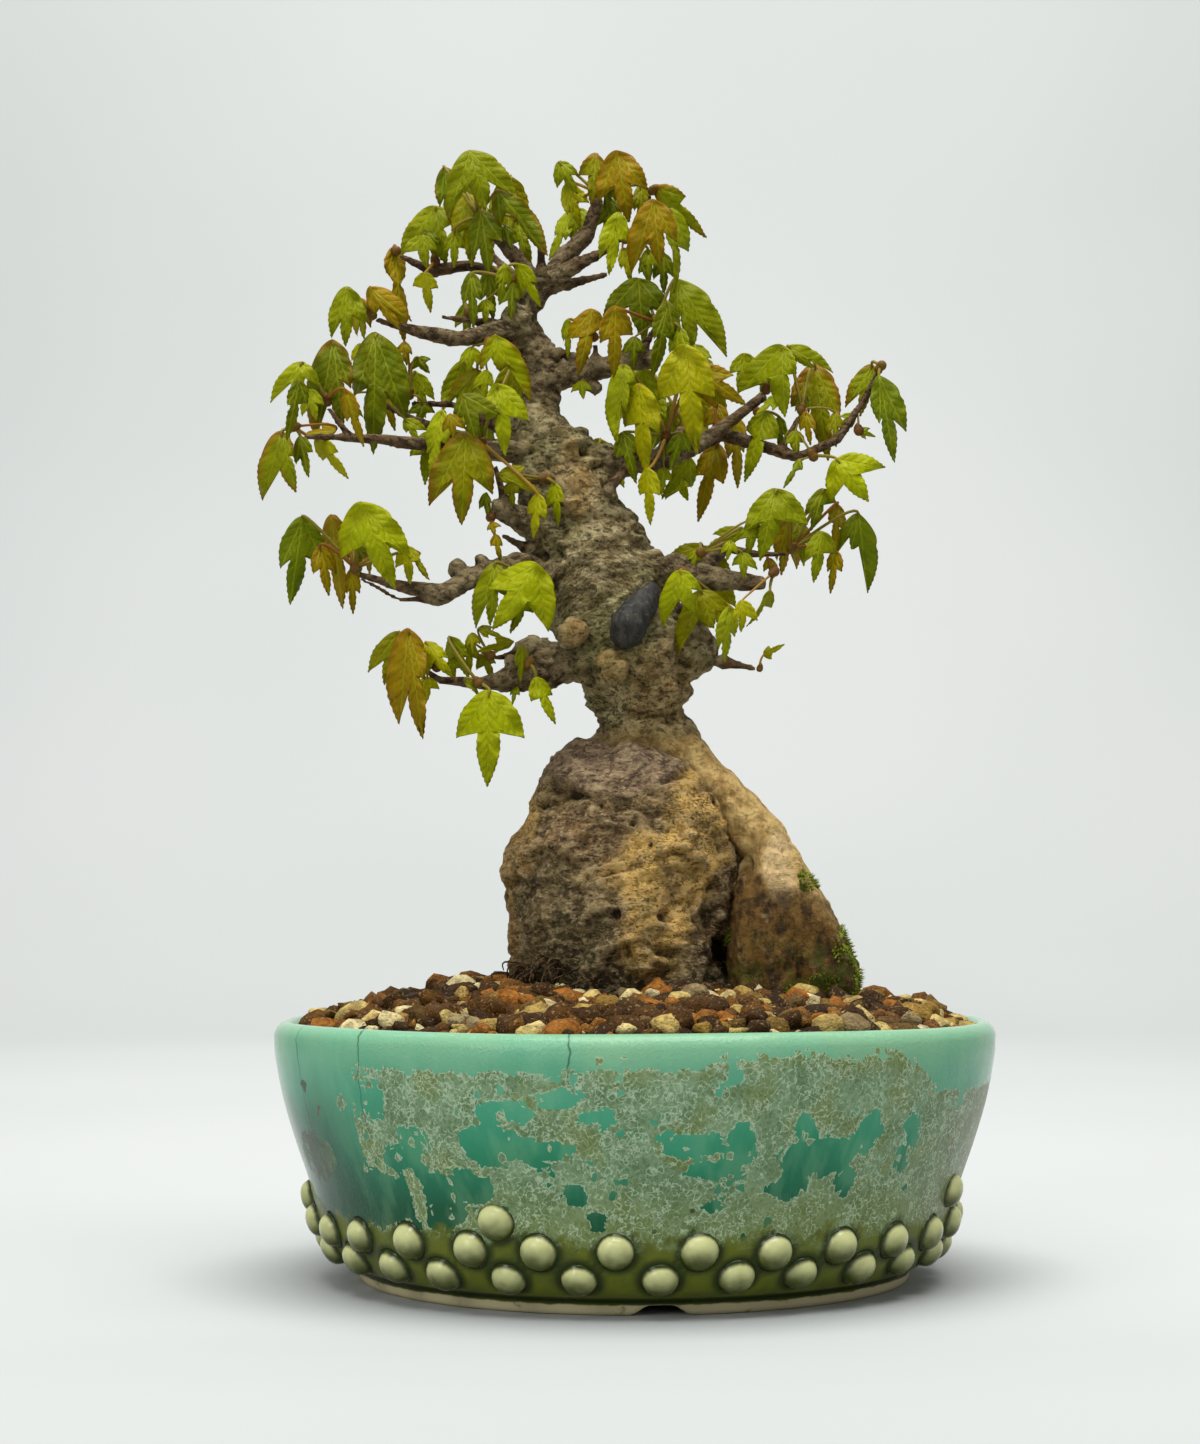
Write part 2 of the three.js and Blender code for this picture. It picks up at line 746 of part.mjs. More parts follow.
// Leaves. Each row reads base, left tip, middle tip and right tip as x, z pairs seen from the
// front, then the depth of the base behind its bud.
const SPRAYS = {
  crown_left: {
    bud: [-40, 268.5, 0],
    leaves: [
      [-42, 285.3, -47, 270, -38, 271, -30.5, 273.5, -9],
      [-35, 275.3, -34, 266, -28, 267, -22.7, 259, -3],
      [-42.5, 274, -46, 263, -41.5, 256, -37, 262, -5],
      [-48.5, 281, -49.5, 271, -47, 267, -45, 276, 1],
      [-39, 270, -41, 258, -37, 253.5, -34, 262, 3],
      [-30, 267.5, -31.5, 261, -26.5, 255.5, -25, 263, 2],
    ],
  },
  crown_far_left: {
    bud: [-50.8, 257, 8.2],
    leaves: [
      [-51, 271, -59.3, 258.5, -48, 256.5, -46.5, 266.5, -6],
      [-54, 263.5, -59, 259, -53, 255.3, -50.5, 259.5, -9],
      [-53.5, 254, -56.3, 250.5, -52, 244, -50.3, 250, -3],
    ],
  },
  crown_far_left_tip: {
    bud: [-60.4, 259.4, 6.8],
    leaves: [[-61.5, 260.2, -63.3, 254, -58.7, 236.5, -58.8, 252.5, -2]],
  },
  crown_spur: {
    bud: [-31.5, 252.3, -6],
    leaves: [
      [-33, 256.2, -35.2, 251, -34.5, 246, -32.2, 250.5, -5],
      [-29.5, 256.2, -28.3, 248, -24, 245.5, -25, 251.5, -6],
      [-41.5, 254, -43.5, 246, -41, 240, -39.5, 247, 3],
      [-37.5, 254.5, -39, 247, -36, 242, -34.5, 247.5, 2],
    ],
  },
  upper_left_bud: {
    bud: [-42, 242.6, -1.5],
    leaves: [[-43, 246, -45.5, 240, -42.5, 236.5, -40, 240, 4]],
  },
  upper_left_tip: {
    bud: [-67, 243.4, -12.5],
    leaves: [
      [-73.5, 250.2, -77, 237.5, -73.7, 235.5, -69, 241, -5],
      [-67.5, 250.3, -66, 243, -60, 239.8, -57.2, 241.7, -3],
      [-70, 247, -70.6, 238, -69, 237.3, -67.4, 240, 3],
    ],
  },
  upper_left_under: {
    bud: [-37, 237.8, -7.6],
    leaves: [
      [-35.5, 237.9, -39, 229, -34.5, 229, -27, 221.5, -4],
      [-37.5, 229, -41, 224, -38.5, 221.5, -36.3, 224.5, -6],
      [-40, 229.3, -47, 221.5, -42.5, 222.5, -38, 222, 1],
    ],
  },
  long_left_tip: {
    bud: [-86.6, 214.6, -34.6],
    leaves: [
      [-85.5, 226.3, -88.3, 220, -88.5, 211.5, -83.5, 220.5, -5],
      [-90, 213.2, -94.3, 196.2, -86.2, 198.2, -86.8, 207, -2],
      [-85, 212, -86, 205, -83, 201.8, -82, 208, 0],
      [-81, 211.5, -79, 206, -73, 201.5, -75.5, 208, 2],
      [-76, 213.6, -80, 215.4, -84, 212.6, -80, 212.4, 1],
    ],
  },
  long_left_fork: {
    bud: [-78.3, 220.8, -24],
    leaves: [
      [-76.8, 236.5, -80.8, 212, -74.3, 215, -72.5, 224.5, -5],
      [-85, 231, -92.3, 221, -86, 223.5, -80.5, 225, 1],
      [-82.5, 224, -84.5, 217.3, -81, 216.3, -79.2, 220, 3],
      [-73.5, 224, -73, 216, -69, 209.8, -70.5, 216, 0],
    ],
  },
  thin_left: {
    bud: [-57.8, 221.2, 1.5],
    leaves: [
      [-55.5, 228.3, -57, 221.5, -53.3, 217, -51.2, 221.5, 3],
    ],
  },
  rising_left: {
    bud: [-66.8, 222.4, -6.3],
    leaves: [
      [-66, 238.2, -71, 222.5, -66.5, 208.3, -58.5, 217, -9],
      [-70, 235.8, -72, 231.5, -70.5, 228.5, -68.5, 231, 1],
      [-63, 222.5, -65, 217, -61, 213.7, -60.3, 217.5, 1],
      [-58.5, 216.5, -58, 213, -55, 210.3, -53, 213.5, 2],
    ],
  },
  long_left_front: {
    bud: [-50, 210.5, -12.8],
    leaves: [
      [-43, 212.8, -51.8, 194.7, -44, 190, -36.5, 197.5, -6],
      [-52.5, 213, -57, 207, -53.3, 200, -50.2, 206, 0],
      [-49, 218.5, -52.5, 207.5, -52, 201.5, -48, 210, -3],
    ],
  },
  long_left_root: {
    bud: [-40, 209.6, -9.4],
    leaves: [
      [-43.5, 222.7, -45.5, 216, -40.5, 211.5, -34.5, 217.5, -11],
      [-35, 225.3, -37.5, 216, -33, 207.5, -27.3, 216, -7],
      [-24.5, 197.3, -27, 192, -25.7, 186, -22.8, 191, -6],
    ],
  },
  left_stub: {
    bud: [-36.9, 192.6, -12.2],
    leaves: [
      [-35.3, 187, -36.5, 184, -34, 180.2, -33.7, 184, -1],
    ],
  },
  trunk_front: {
    bud: [-22, 201.3, -10],
    leaves: [
      [-20.3, 200, -22, 194, -19.3, 189.5, -18.3, 195, -5],
      [-34.5, 202.3, -32, 200, -24, 197.7, -28, 204, -4],
    ],
  },
  lower_left_tip: {
    bud: [-71, 178, -20.6],
    leaves: [
      [-69.5, 195, -74, 181, -61, 173.7, -57.3, 181, -8],
      [-80, 184, -81.5, 177, -77.7, 171.7, -76, 177, -2],
      [-84.5, 191.2, -89.8, 178.5, -87.5, 169.7, -79, 179, -4],
      [-77, 191.7, -77.5, 180, -74.2, 168.7, -72.8, 180, -2],
      [-71, 187, -73, 181, -70, 176, -67, 182, -3],
      [-72, 178, -73, 172, -71.5, 167, -70, 172, 0],
      [-57.5, 183, -56, 180, -52.3, 175.5, -54.3, 182, 1],
      [-68.5, 186, -68.5, 180, -67.3, 177, -65.5, 180, 0],
    ],
  },
  trunk_left: {
    bud: [-30, 177.5, -13.2],
    leaves: [
      [-25, 179.3, -36.8, 172.8, -35.8, 163.2, -22.3, 162.7, -9],
      [-35.5, 179.5, -40, 163.5, -36.7, 164.2, -32.5, 171, -3],
      [-27, 172, -33, 164.5, -31.5, 162, -26, 167, -4],
    ],
  },
  lowest_left_tip: {
    bud: [-58.7, 157, -18.3],
    leaves: [
      [-57.5, 162.6, -59.5, 139.3, -53.8, 135.7, -53.5, 150, -5],
      [-60, 162, -67.3, 152, -63.5, 149, -58, 152, -2],
    ],
  },
  lowest_left_middle: {
    bud: [-50.3, 153.3, -19.3],
    leaves: [
      [-53, 159.5, -52.3, 151.5, -46.3, 150.8, -47.5, 155.5, -5],
      [-52.5, 150.7, -56, 146, -53, 144, -49.7, 147.5, 1],
    ],
  },
  lowest_left_low: {
    bud: [-39.8, 149.4, -21.2],
    leaves: [
      [-37, 146.8, -44.8, 135.3, -37.3, 123.5, -28.4, 135.2, -3],
      [-46.5, 160.8, -46.8, 154.5, -42, 150.5, -42.5, 156, 2],
    ],
  },
  lowest_left_young: {
    bud: [-36.7, 156.3, -14.6],
    leaves: [
      [-31, 159.5, -35.5, 160.4, -40, 157, -36, 157.6, -3],
      [-38, 157, -40, 152.5, -36, 150, -35.3, 154, -3],
    ],
  },
  lowest_left_under: {
    bud: [-27.5, 152.8, -15.6],
    leaves: [
      [-28.5, 158.5, -30, 153.5, -29, 149.5, -27, 153.5, -2],
      [-25, 150.5, -26, 144.5, -20.2, 139, -21, 146, -1],
    ],
  },
  lower_right_tip: {
    bud: [35.4, 177.4, -12.6],
    leaves: [
      [34.5, 172.7, 32, 167.3, 28.5, 163.8, 34.5, 168.3, -1],
      [27.3, 170.2, 25.5, 164.3, 27, 162.3, 31, 165, -5],
    ],
  },
  lower_right_front: {
    bud: [12.5, 177.5, -13.6],
    leaves: [
      [11.5, 177.8, 7.5, 163.8, 15.2, 167.3, 16.7, 172.5, -6],
      [17, 172.7, 11.5, 157, 20, 163.3, 24.5, 166, -2],
      [24.3, 168.7, 21.5, 158, 22.8, 154.8, 25.2, 161, -3],
    ],
  },
  lower_right_top: {
    bud: [17, 182.4, -11.4],
    leaves: [
      [17.3, 184, 9.8, 182, 18.5, 173, 24, 178, -6],
      [27, 188.3, 20, 187, 18.3, 183.5, 23.5, 184, 0],
    ],
  },
  lower_right_upper: {
    bud: [39.5, 182.7, -7.3],
    leaves: [
      [36, 198.4, 28.3, 187.5, 32, 180.8, 43.5, 189.5, -7],
      [47.5, 187.7, 43.5, 180, 45.5, 175, 51, 182, -4],
      [42, 190, 40.8, 183.5, 43, 179.2, 44.7, 184, -2],
      [39, 191.7, 36.3, 180.5, 37.3, 177, 41, 178.5, -3],
      [51.5, 194.7, 49.5, 190, 51, 182.5, 53, 188, -2],
      [48, 198.6, 43.5, 191.5, 45, 188.3, 51, 195, 0],
      [51, 183, 49.2, 177.5, 49.8, 172.2, 52.5, 177.5, 0],
      [57, 192.3, 51.7, 182.3, 55.2, 183.5, 59, 172.8, 2],
    ],
  },
  long_right_tip: {
    bud: [33.5, 223.4, 0.8],
    leaves: [
      [37.5, 235.2, 27, 223.4, 38.3, 217.5, 41, 228, -7],
      [37, 222.7, 33, 220.4, 31, 218, 35, 218.8, -4],
      [28, 233.2, 24.3, 228, 26.5, 223.2, 31, 230.5, 1],
    ],
  },
  long_right_middle: {
    bud: [30.5, 218.5, -0.5],
    leaves: [
      [33.5, 218.2, 28.5, 213.5, 28.2, 200.9, 36.3, 211.5, -4],
      [37, 217, 35, 211.5, 37.5, 207.3, 38.5, 212, 1],
    ],
  },
  far_right_tip: {
    bud: [64.6, 231.8, -5],
    leaves: [
      [62.3, 227.3, 62.5, 215.5, 66, 206, 68.8, 213.5, -5],
      [60.5, 230.3, 54, 219.7, 57.5, 217.5, 61.8, 223.5, 2],
    ],
  },
  far_right_bud: {
    bud: [56.5, 215.2, -6],
    leaves: [
      [57, 213.8, 59, 211.4, 61.3, 212, 60, 214, -1],
    ],
  },
  far_right_low: {
    bud: [44, 208.2, -6.9],
    leaves: [
      [51.5, 206.2, 50.3, 195.5, 59.3, 195.7, 63.4, 204, -4],
      [42, 206.2, 40.2, 203.5, 38, 199, 42.5, 203.5, 0],
    ],
  },
  far_right_upper: {
    bud: [42.6, 218.6, -4.4],
    leaves: [
      [46, 230.2, 40.2, 219.6, 49.2, 206.5, 52, 217, -5],
      [43.5, 218.3, 42.3, 213.5, 44.8, 210, 46, 213.5, -2],
      [39, 235.3, 40.8, 228, 45.5, 229.8, 50.2, 228.5, 2],
      [43.8, 222.5, 41, 218.5, 42, 215.5, 44.2, 218, 1],
    ],
  },
  middle_right: {
    bud: [8, 211.4, -6.6],
    leaves: [
      [13, 235.2, 6.5, 221.5, 15.8, 208.3, 20, 222, -9],
      [1.2, 225.2, -2.3, 214.5, 3, 202.5, 6, 213, -7],
      [12, 213, 8, 207, 9, 203.5, 14, 208, 2],
      [15.5, 229.5, 21, 219.5, 28.2, 220.3, 25, 227.5, -5],
      [3.5, 203.8, 1.5, 197, 4, 189.7, 6.2, 197, -3],
      [-3, 230.4, -4.2, 210.5, -2.3, 218.7, 0, 226, -3],
      [14, 206.7, 9, 201, 7, 196.3, 14.5, 199.5, -1],
      [-3, 213, -4.5, 206.5, 0.3, 200.3, 2, 208, 0],
      [15.5, 235.5, 17, 229.5, 21.5, 227.3, 19.5, 232, 3],
      [12, 201.5, 8, 196, 13.6, 195.8, 14.5, 199, 4],
    ],
  },
  middle_right_low: {
    bud: [21, 212.9, 5.2],
    leaves: [
      [21, 210.2, 15.8, 202, 16.3, 190.8, 22.3, 200, -1],
      [26, 217, 24, 206.5, 26.2, 199.3, 27.6, 208, 0],
      [21, 220.3, 18, 214.5, 21, 209, 24, 215, 2],
    ],
  },
  upper_right: {
    bud: [5.6, 240.6, -5.6],
    leaves: [
      [-5, 245.2, -8.5, 236, -5.3, 227.5, -0.8, 238, -9],
      [8.5, 246.5, 5, 237, 4.5, 227.3, 10.3, 236, -6],
      [1, 252.4, -7.6, 242.7, 2, 238, 9, 242.5, -4],
      [11, 252.2, 11, 241, 14.8, 234.8, 22.9, 233, 0],
      [3.5, 243.7, 1, 238.3, 2, 235.5, 4.3, 240, 1],
    ],
  },
  upper_right_thorn: {
    bud: [-10, 237, -3.5],
    leaves: [
      [-10.7, 244.4, -17, 237, -14.3, 228.2, -7.8, 240, -5],
      [-17, 242, -18, 236.5, -17, 232.3, -15.8, 237, 2],
    ],
  },
  crown_right: {
    bud: [-9.4, 274.2, 6],
    leaves: [
      [-4.5, 285.2, -9, 272.5, -1.5, 267.5, 3, 275.5, -9],
      [-9.8, 284.6, -14, 279, -11, 271.5, -8, 276, -5],
      [-19.2, 282.6, -19.5, 276, -14.7, 274.5, -14.3, 279, -2],
      [-17.5, 276.7, -17, 269, -14, 266, -11.8, 272, 1],
      [-7, 279, -8.5, 273, -7, 269, -5, 272.5, 2],
      [-16.5, 269.5, -20.3, 263.5, -21.7, 257.5, -17.8, 262.5, 3],
      [-14.5, 270.5, -15.8, 262, -12.5, 261.8, -11, 268, 5],
    ],
  },
  crown_middle: {
    bud: [-2.6, 262.4, -1.6],
    leaves: [
      [4.8, 272.7, -0.4, 254.5, 6.5, 256.5, 10.5, 262, -12],
      [-4, 269.3, -8.7, 258, -6.5, 253.8, -2.3, 262, -8],
      [9.5, 270.3, 10.5, 259, 10, 249.5, 13.5, 259.5, -5],
      [-3, 260.3, -3.3, 255, -1, 251.7, 0.6, 257, -3],
      [7.5, 259, 5, 252.3, 7.5, 248.7, 9.7, 253, 2],
    ],
  },
  crown_top_right: {
    bud: [4.2, 274.8, 1.8],
    leaves: [[5.5, 276, 13.7, 266.3, 18, 263.3, 13, 273.5, -1]],
  },
};

// Sprays on the back limbs, as their buds and the part of the view behind which their leaves
// hang side by side, as left, right, top and bottom.
const BACK_SPRAYS = {
  back_trunk: { bud: [-17.3, 192.8, 36.6], span: [-29, -5, 212, 184], count: 3 },
  back_left: { bud: [-36.8, 217.6, 31], span: [-47, -28, 232, 204], count: 3 },
  back_right: { bud: [15, 168.6, 33], span: [6, 24, 178, 158], count: 3 },
  back_crown: { bud: [-36.8, 259, 25], span: [-47, -29, 279, 254], count: 3 },
  back_upper: { bud: [12.7, 215, 23], span: [-2, 21, 230, 200], count: 3 },
};

function backRows({ span: [left, right, top, bottom], count }, draw) {
  const pitch = (right - left) / count;
  return Array.from({ length: count }, (_, i) => {
    const x = left + pitch * (i + 0.5);
    const base = top - (i % 2) * 0.3 * (top - bottom) - 2 * draw();
    const length = 0.55 * (top - bottom) + 2 * draw();
    const side = 0.75 * pitch;
    const low = base - length;
    return [x, base, x - side, low + 4, x + 1 - 2 * draw(), low, x + side, low + 5, 3 + 4 * draw()];
  });
}

// A leaf as its row reads it, moved back to the nearest depth that no earlier leaf takes.
function readLeaf(row, bud, facing, draw, placed) {
  const [bx, bz, lx, lz, mx, mz, rx, rz, offset] = row;
  const base = new THREE.Vector2(bx, bz);
  const left = new THREE.Vector2(lx, lz);
  const middle = new THREE.Vector2(mx, mz);
  const right = new THREE.Vector2(rx, rz);
  const length = base.distanceTo(middle);
  const breadth = left.distanceTo(right);
  const size = Math.max(length, breadth);
  const leaf = { base, left, middle, right, length, size, facing };
  leaf.centre = base.clone().lerp(middle, 0.5);
  const slim = breadth < SLIM_LEAF.breadth * length;
  const side = draw() - 0.5;
  leaf.turn = slim ? SLIM_LEAF.turn * Math.sign(side) : LEAF_TURN * side;
  leaf.depth = bud[2] + offset;
  const covered = placed.filter(
    (other) => other.centre.distanceTo(leaf.centre) < LEAF_COVER * (other.size + leaf.size),
  );
  while (covered.some((other) => Math.abs(other.depth - leaf.depth) < LEAF_LAYER)) {
    leaf.depth += 1;
  }
  placed.push(leaf);
  return leaf;
}

function pointBeside(from, to, along, aside) {
  const heading = to.clone().sub(from).normalize();
  const point = from.clone().lerp(to, along);
  return point.add(new THREE.Vector2(heading.y * aside, -heading.x * aside));
}

// The cut outline round three lobes, from the base down the left side.
function leafOutline({ base, left, middle, right, size }) {
  const notch = (side) => base.clone().lerp(side.clone().lerp(middle, 0.5), LEAF_NOTCH);
  if (size < SMALL_LEAF) {
    return [base, left, middle, right];
  }
  if (size < MIDDLE_LEAF) {
    return [base, left, notch(left), middle, notch(right), right];
  }
  const { along, aside } = LEAF_SHOULDER;
  return [
    base,
    pointBeside(base, left, along, aside * base.distanceTo(left)),
    left,
    notch(left),
    middle,
    notch(right),
    right,
    pointBeside(base, right, along, -aside * base.distanceTo(right)),
  ];
}

// The blade bows toward the viewer, its side lobes fall back, and it turns a little.
function bladePoint(leaf, point) {
  const heading = leaf.middle.clone().sub(leaf.base).normalize();
  const offset = point.clone().sub(leaf.base);
  const along = THREE.MathUtils.clamp(offset.dot(heading) / leaf.length, 0, 1);
  const across = offset.cross(heading);
  const bow = LEAF_ARCH * leaf.length * Math.sin(Math.PI * along);
  const fall = LEAF_FOLD * Math.abs(across) - bow;
  return seenAt(point.x, point.y, leaf.depth + leaf.facing * fall + leaf.turn * across);
}

// The blade's points round its outline, with its centre last, on its upper and lower face.
function bladeFaces(leaf, grow) {
  const centre = leaf.base.clone().lerp(leaf.middle, LEAF_CENTRE);
  const outline = leafOutline(leaf).map((point) => {
    const out = point.clone().sub(centre);
    return point.clone().add(out.setLength(grow));
  });
  const count = outline.length;
  const points = [...outline, centre].map((point) => bladePoint(leaf, point));
  const fan = outline.map((_, i) => [count, i, (i + 1) % count]);
  const sheet = new THREE.BufferGeometry().setFromPoints(points);
  sheet.setIndex(fan.flat());
  sheet.computeVertexNormals();
  const normals = points.map((_, i) =>
    new THREE.Vector3().fromBufferAttribute(sheet.getAttribute("normal"), i),
  );
  const half = LEAF_THICKNESS / 2 + grow;
  const shifted = (by) => points.map((point, i) => point.clone().addScaledVector(normals[i], by));
  const { bow } = leaf;
  return { bow, count, fan, points, normals, upper: shifted(half), lower: shifted(-half) };
}

function bladeSolid(leaf, grow = 0) {
  const { count, fan, upper, lower } = bladeFaces(leaf, grow);
  const faces = [];
  const back = count + 1;
  for (const [centre, from, to] of fan) {
    faces.push(centre, from, to);
    faces.push(back + centre, back + to, back + from);
    faces.push(from, back + from, back + to);
    faces.push(from, back + to, to);
  }
  const blade = new THREE.BufferGeometry().setFromPoints([...upper, ...lower]);
  blade.setIndex(faces);
  return solidOf(blade);
}

// A stalk leaves the blade's base, turns at a knee on the bud's side and runs to the bud.
function petiolePath({ bow, count, points, normals }, bud) {
  const base = points[0];
  const outward = base.clone().sub(points[count]).normalize();
  const square = normals[0].clone();
  const toBud = seenAt(...bud).sub(base);
  const span = toBud.length();
  square.multiplyScalar(Math.sign(square.dot(toBud)));
  const knee = base.clone().addScaledVector(outward, PETIOLE_KNEE + PETIOLE_RISE * span);
  knee.addScaledVector(square, PETIOLE_KNEE + bow * span);
  const end = seenAt(...bud).lerp(knee, Math.min(0.5, (PETIOLE_SINK * BUD_RADIUS) / span));
  return [base, knee, end];
}

// The room round a stalk has five sides, which clear its radius all round.
function petioleSolid(leaf, bud, grow = 0) {
  const path = petiolePath(bladeFaces(leaf, 0), bud);
  const sides = grow > 0 ? 5 : 3;
  const corner = grow > 0 ? (PETIOLE_RADIUS + grow) / Math.cos(Math.PI / sides) : PETIOLE_RADIUS;
  return solidOf(straightTube(path, corner, sides));
}

// Three corners round a place on a stalk, two above and one under, for the side it turned to.
function stalkRing(place, along, side, above) {
  side.addScaledVector(along, -side.dot(along)).normalize();
  const out = side.clone().multiplyScalar(PETIOLE_RADIUS);
  const up = along.clone().cross(side).multiplyScalar(above * PETIOLE_RADIUS);
  const top = place.clone().add(up);
  return [top.clone().add(out), top.clone().sub(out), place.clone().sub(up)];
}

// A blade and its stalk in one skin. The blade's base opens in three corners, and the
// stalk goes on from them.
function leafSolid(leaf, bud) {
  const shape = bladeFaces(leaf, 0);
  const { count, fan, points, normals, upper, lower } = shape;
  const [base, knee, end] = petiolePath(shape, bud);
  const run = solidOf(straightTube([knee, end], PETIOLE_RADIUS, 4));
  const blade = bladeSolid(leaf);
  if (!run.intersect(blade).isEmpty()) {
    return join([blade, petioleSolid(leaf, bud)]);
  }
  const side = points[1].clone().sub(points[count - 1]).normalize();
  const outward = base.clone().sub(points[count]).normalize();
  const above = Math.sign(outward.clone().cross(side).dot(normals[0]));
  const first = knee.clone().sub(base).normalize();
  const last = end.clone().sub(knee).normalize();
  const halfBase = side.clone().multiplyScalar(PETIOLE_RADIUS);
  const split = upper[0].clone().sub(halfBase);
  upper[0].add(halfBase);
  const kneeRing = stalkRing(knee, first.clone().add(last).normalize(), side, above);
  const endRing = stalkRing(end, last, side, above);

  const back = count + 1;
  const splitAt = 2 * back;
  const faces = [count, splitAt, 0];
  for (const [centre, from, to] of fan) {
    const upperTo = to === 0 ? splitAt : to;
    faces.push(centre, from, upperTo);
    faces.push(back + centre, back + to, back + from);
    faces.push(from, back + from, back + to);
    faces.push(from, back + to, upperTo);
  }
  const rings = [
    [0, splitAt, back],
    [splitAt + 1, splitAt + 2, splitAt + 3],
    [splitAt + 4, splitAt + 5, splitAt + 6],
  ];
  for (let ring = 0; ring + 1 < rings.length; ring++) {
    for (let corner = 0; corner < 3; corner++) {
      const next = (corner + 1) % 3;
      faces.push(rings[ring][corner], rings[ring][next], rings[ring + 1][next]);
      faces.push(rings[ring][corner], rings[ring + 1][next], rings[ring + 1][corner]);
    }
  }
  faces.push(...rings[2]);
  const corners = [...upper, ...lower, split, ...kneeRing, ...endRing];
  const skin = new THREE.BufferGeometry().setFromPoints(corners);
  skin.setIndex(faces);
  return solidOf(skin);
}

function readSprays() {
  const draw = seededDraw(3);
  const placed = [];
  const front = Object.entries(SPRAYS).map(([name, { bud, leaves }]) => ({
    name,
    bud,
    leaves: leaves.map((row) => readLeaf(row, bud, 1, draw, placed)),
  }));
  const back = Object.entries(BACK_SPRAYS).map(([name, spray]) => ({
    name,
    bud: spray.bud,
    leaves: backRows(spray, draw).map((row) => readLeaf(row, spray.bud, -1, draw, placed)),
  }));
  return [...front, ...back];
}

function boxesMeet(one, other) {
  const { min, max } = one.boundingBox();
  const box = other.boundingBox();
  return [0, 1, 2].every((axis) => min[axis] < box.max[axis] && box.min[axis] < max[axis]);
}

function metBy(solid, rooms) {
  return rooms.filter((room) => boxesMeet(solid, room) && !solid.intersect(room).isEmpty());
}

// A spray's bud moves toward its leaves until it is just clear of the wood that carries it.
function clearBud({ bud, leaves }, wood) {
  const start = new THREE.Vector3(...bud);
  const heart = new THREE.Vector3();
  for (const { base, depth } of leaves) {
    heart.add({ x: base.x / leaves.length, y: base.y / leaves.length, z: depth / leaves.length });
  }
  const way = heart.sub(start).setLength(BUD_STEP);
  for (let step = 1; step <= BUD_STEPS && metBy(budSolid(bud), wood).length > 0; step++) {
    bud = start.clone().addScaledVector(way, step).toArray();
  }
  return bud;
}

// A leaf at the nearest depth, and with the least bow of its stalk, where it meets nothing
// else and none of its own spray's blades.
function fitLeaf(leaf, bud, others, own) {
  const start = leaf.depth;
  const blades = own.map(({ blade }) => blade);
  const rooms = own.flatMap(({ blade, stem }) => [blade, stem]);
  const tries = PETIOLE_BOWS.flatMap((bow) => DEPTH_STEPS.map((step) => [bow, step]));
  const isFree = ([bow, step]) => {
    leaf.bow = bow;
    leaf.depth = start + step;
    return (
      metBy(leafSolid(leaf, bud), others).length === 0 &&
      metBy(bladeSolid(leaf), rooms).length === 0 &&
      metBy(petioleSolid(leaf, bud), blades).length === 0
    );
  };
  return tries.some(isFree);
}

// Each spray is one body: its bud, its stalks and its blades.
function buildSprays(wood) {
  const sprays = readSprays();
  for (const spray of sprays) {
    spray.bud = clearBud(spray, wood);
    spray.budRoom = budSolid(spray.bud, GAP);
  }
  const placed = [...wood];
  return sprays.map(({ name, bud, leaves }) => {
    const otherBuds = sprays.filter((spray) => spray.name !== name).map((spray) => spray.budRoom);
    const own = [];
    const pieces = [budSolid(bud)];
    for (const leaf of leaves) {
      if (fitLeaf(leaf, bud, [...placed, ...otherBuds], own)) {
        own.push({ blade: bladeSolid(leaf, GAP), stem: petioleSolid(leaf, bud, GAP) });
        pieces.push(leafSolid(leaf, bud));
      }
    }
    placed.push(...own.flatMap(({ blade, stem }) => [blade, stem]));
    return { name, body: mainBody(join(pieces)) };
  });
}

// The whole plant in its pot.
const tree = join(treeSolids());
const wood = treeSolids(GAP);
const treeRoom = join(wood);
const rock = mainBody(buildRock().subtract(treeRoom));
const soil = mainBody(buildSoil().subtract(buildRock(GAP)).subtract(treeRoom));
const putty = mainBody(join(PUTTY.map((row) => knob(row, 0))).subtract(treeRoom));

const part = new THREE.Group();
part.add(
  pieceOf("pot", buildPot(), 0x5fa88b, 0.22),
  pieceOf("drain_mesh", buildDrainMesh(), 0x2c2f2d, 0.6),
  pieceOf("mesh_clip", buildMeshClip(), 0x8d8f8c, 0.4),
  pieceOf("soil", soil, 0x6f4a30, 0.95),
  pieceOf("rock", rock, 0x8c7a66, 0.9),
  pieceOf("tree", tree, 0x75664f, 0.9),
  pieceOf("wound_putty", putty, 0x3d3d40, 0.8),
  ...buildSprays(wood).map(({ name, body }) => pieceOf(`leaves_${name}`, body, 0x86a021, 0.55)),
);

export default part;
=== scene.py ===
"""Potted trident maple: the looks of the tree, its stone, its bed and its glazed pot."""

import enum
import logging
import math
from dataclasses import dataclass, field
from typing import Callable, Dict, List, NamedTuple, Optional, Sequence, Tuple

import bmesh
import bpy
import numpy as np
from bmesh.types import BMesh, BMFace
from bpy.types import Material, NodeSocket, NodeTree, Object
from mathutils import Matrix, Vector, noise
from mathutils.bvhtree import BVHTree

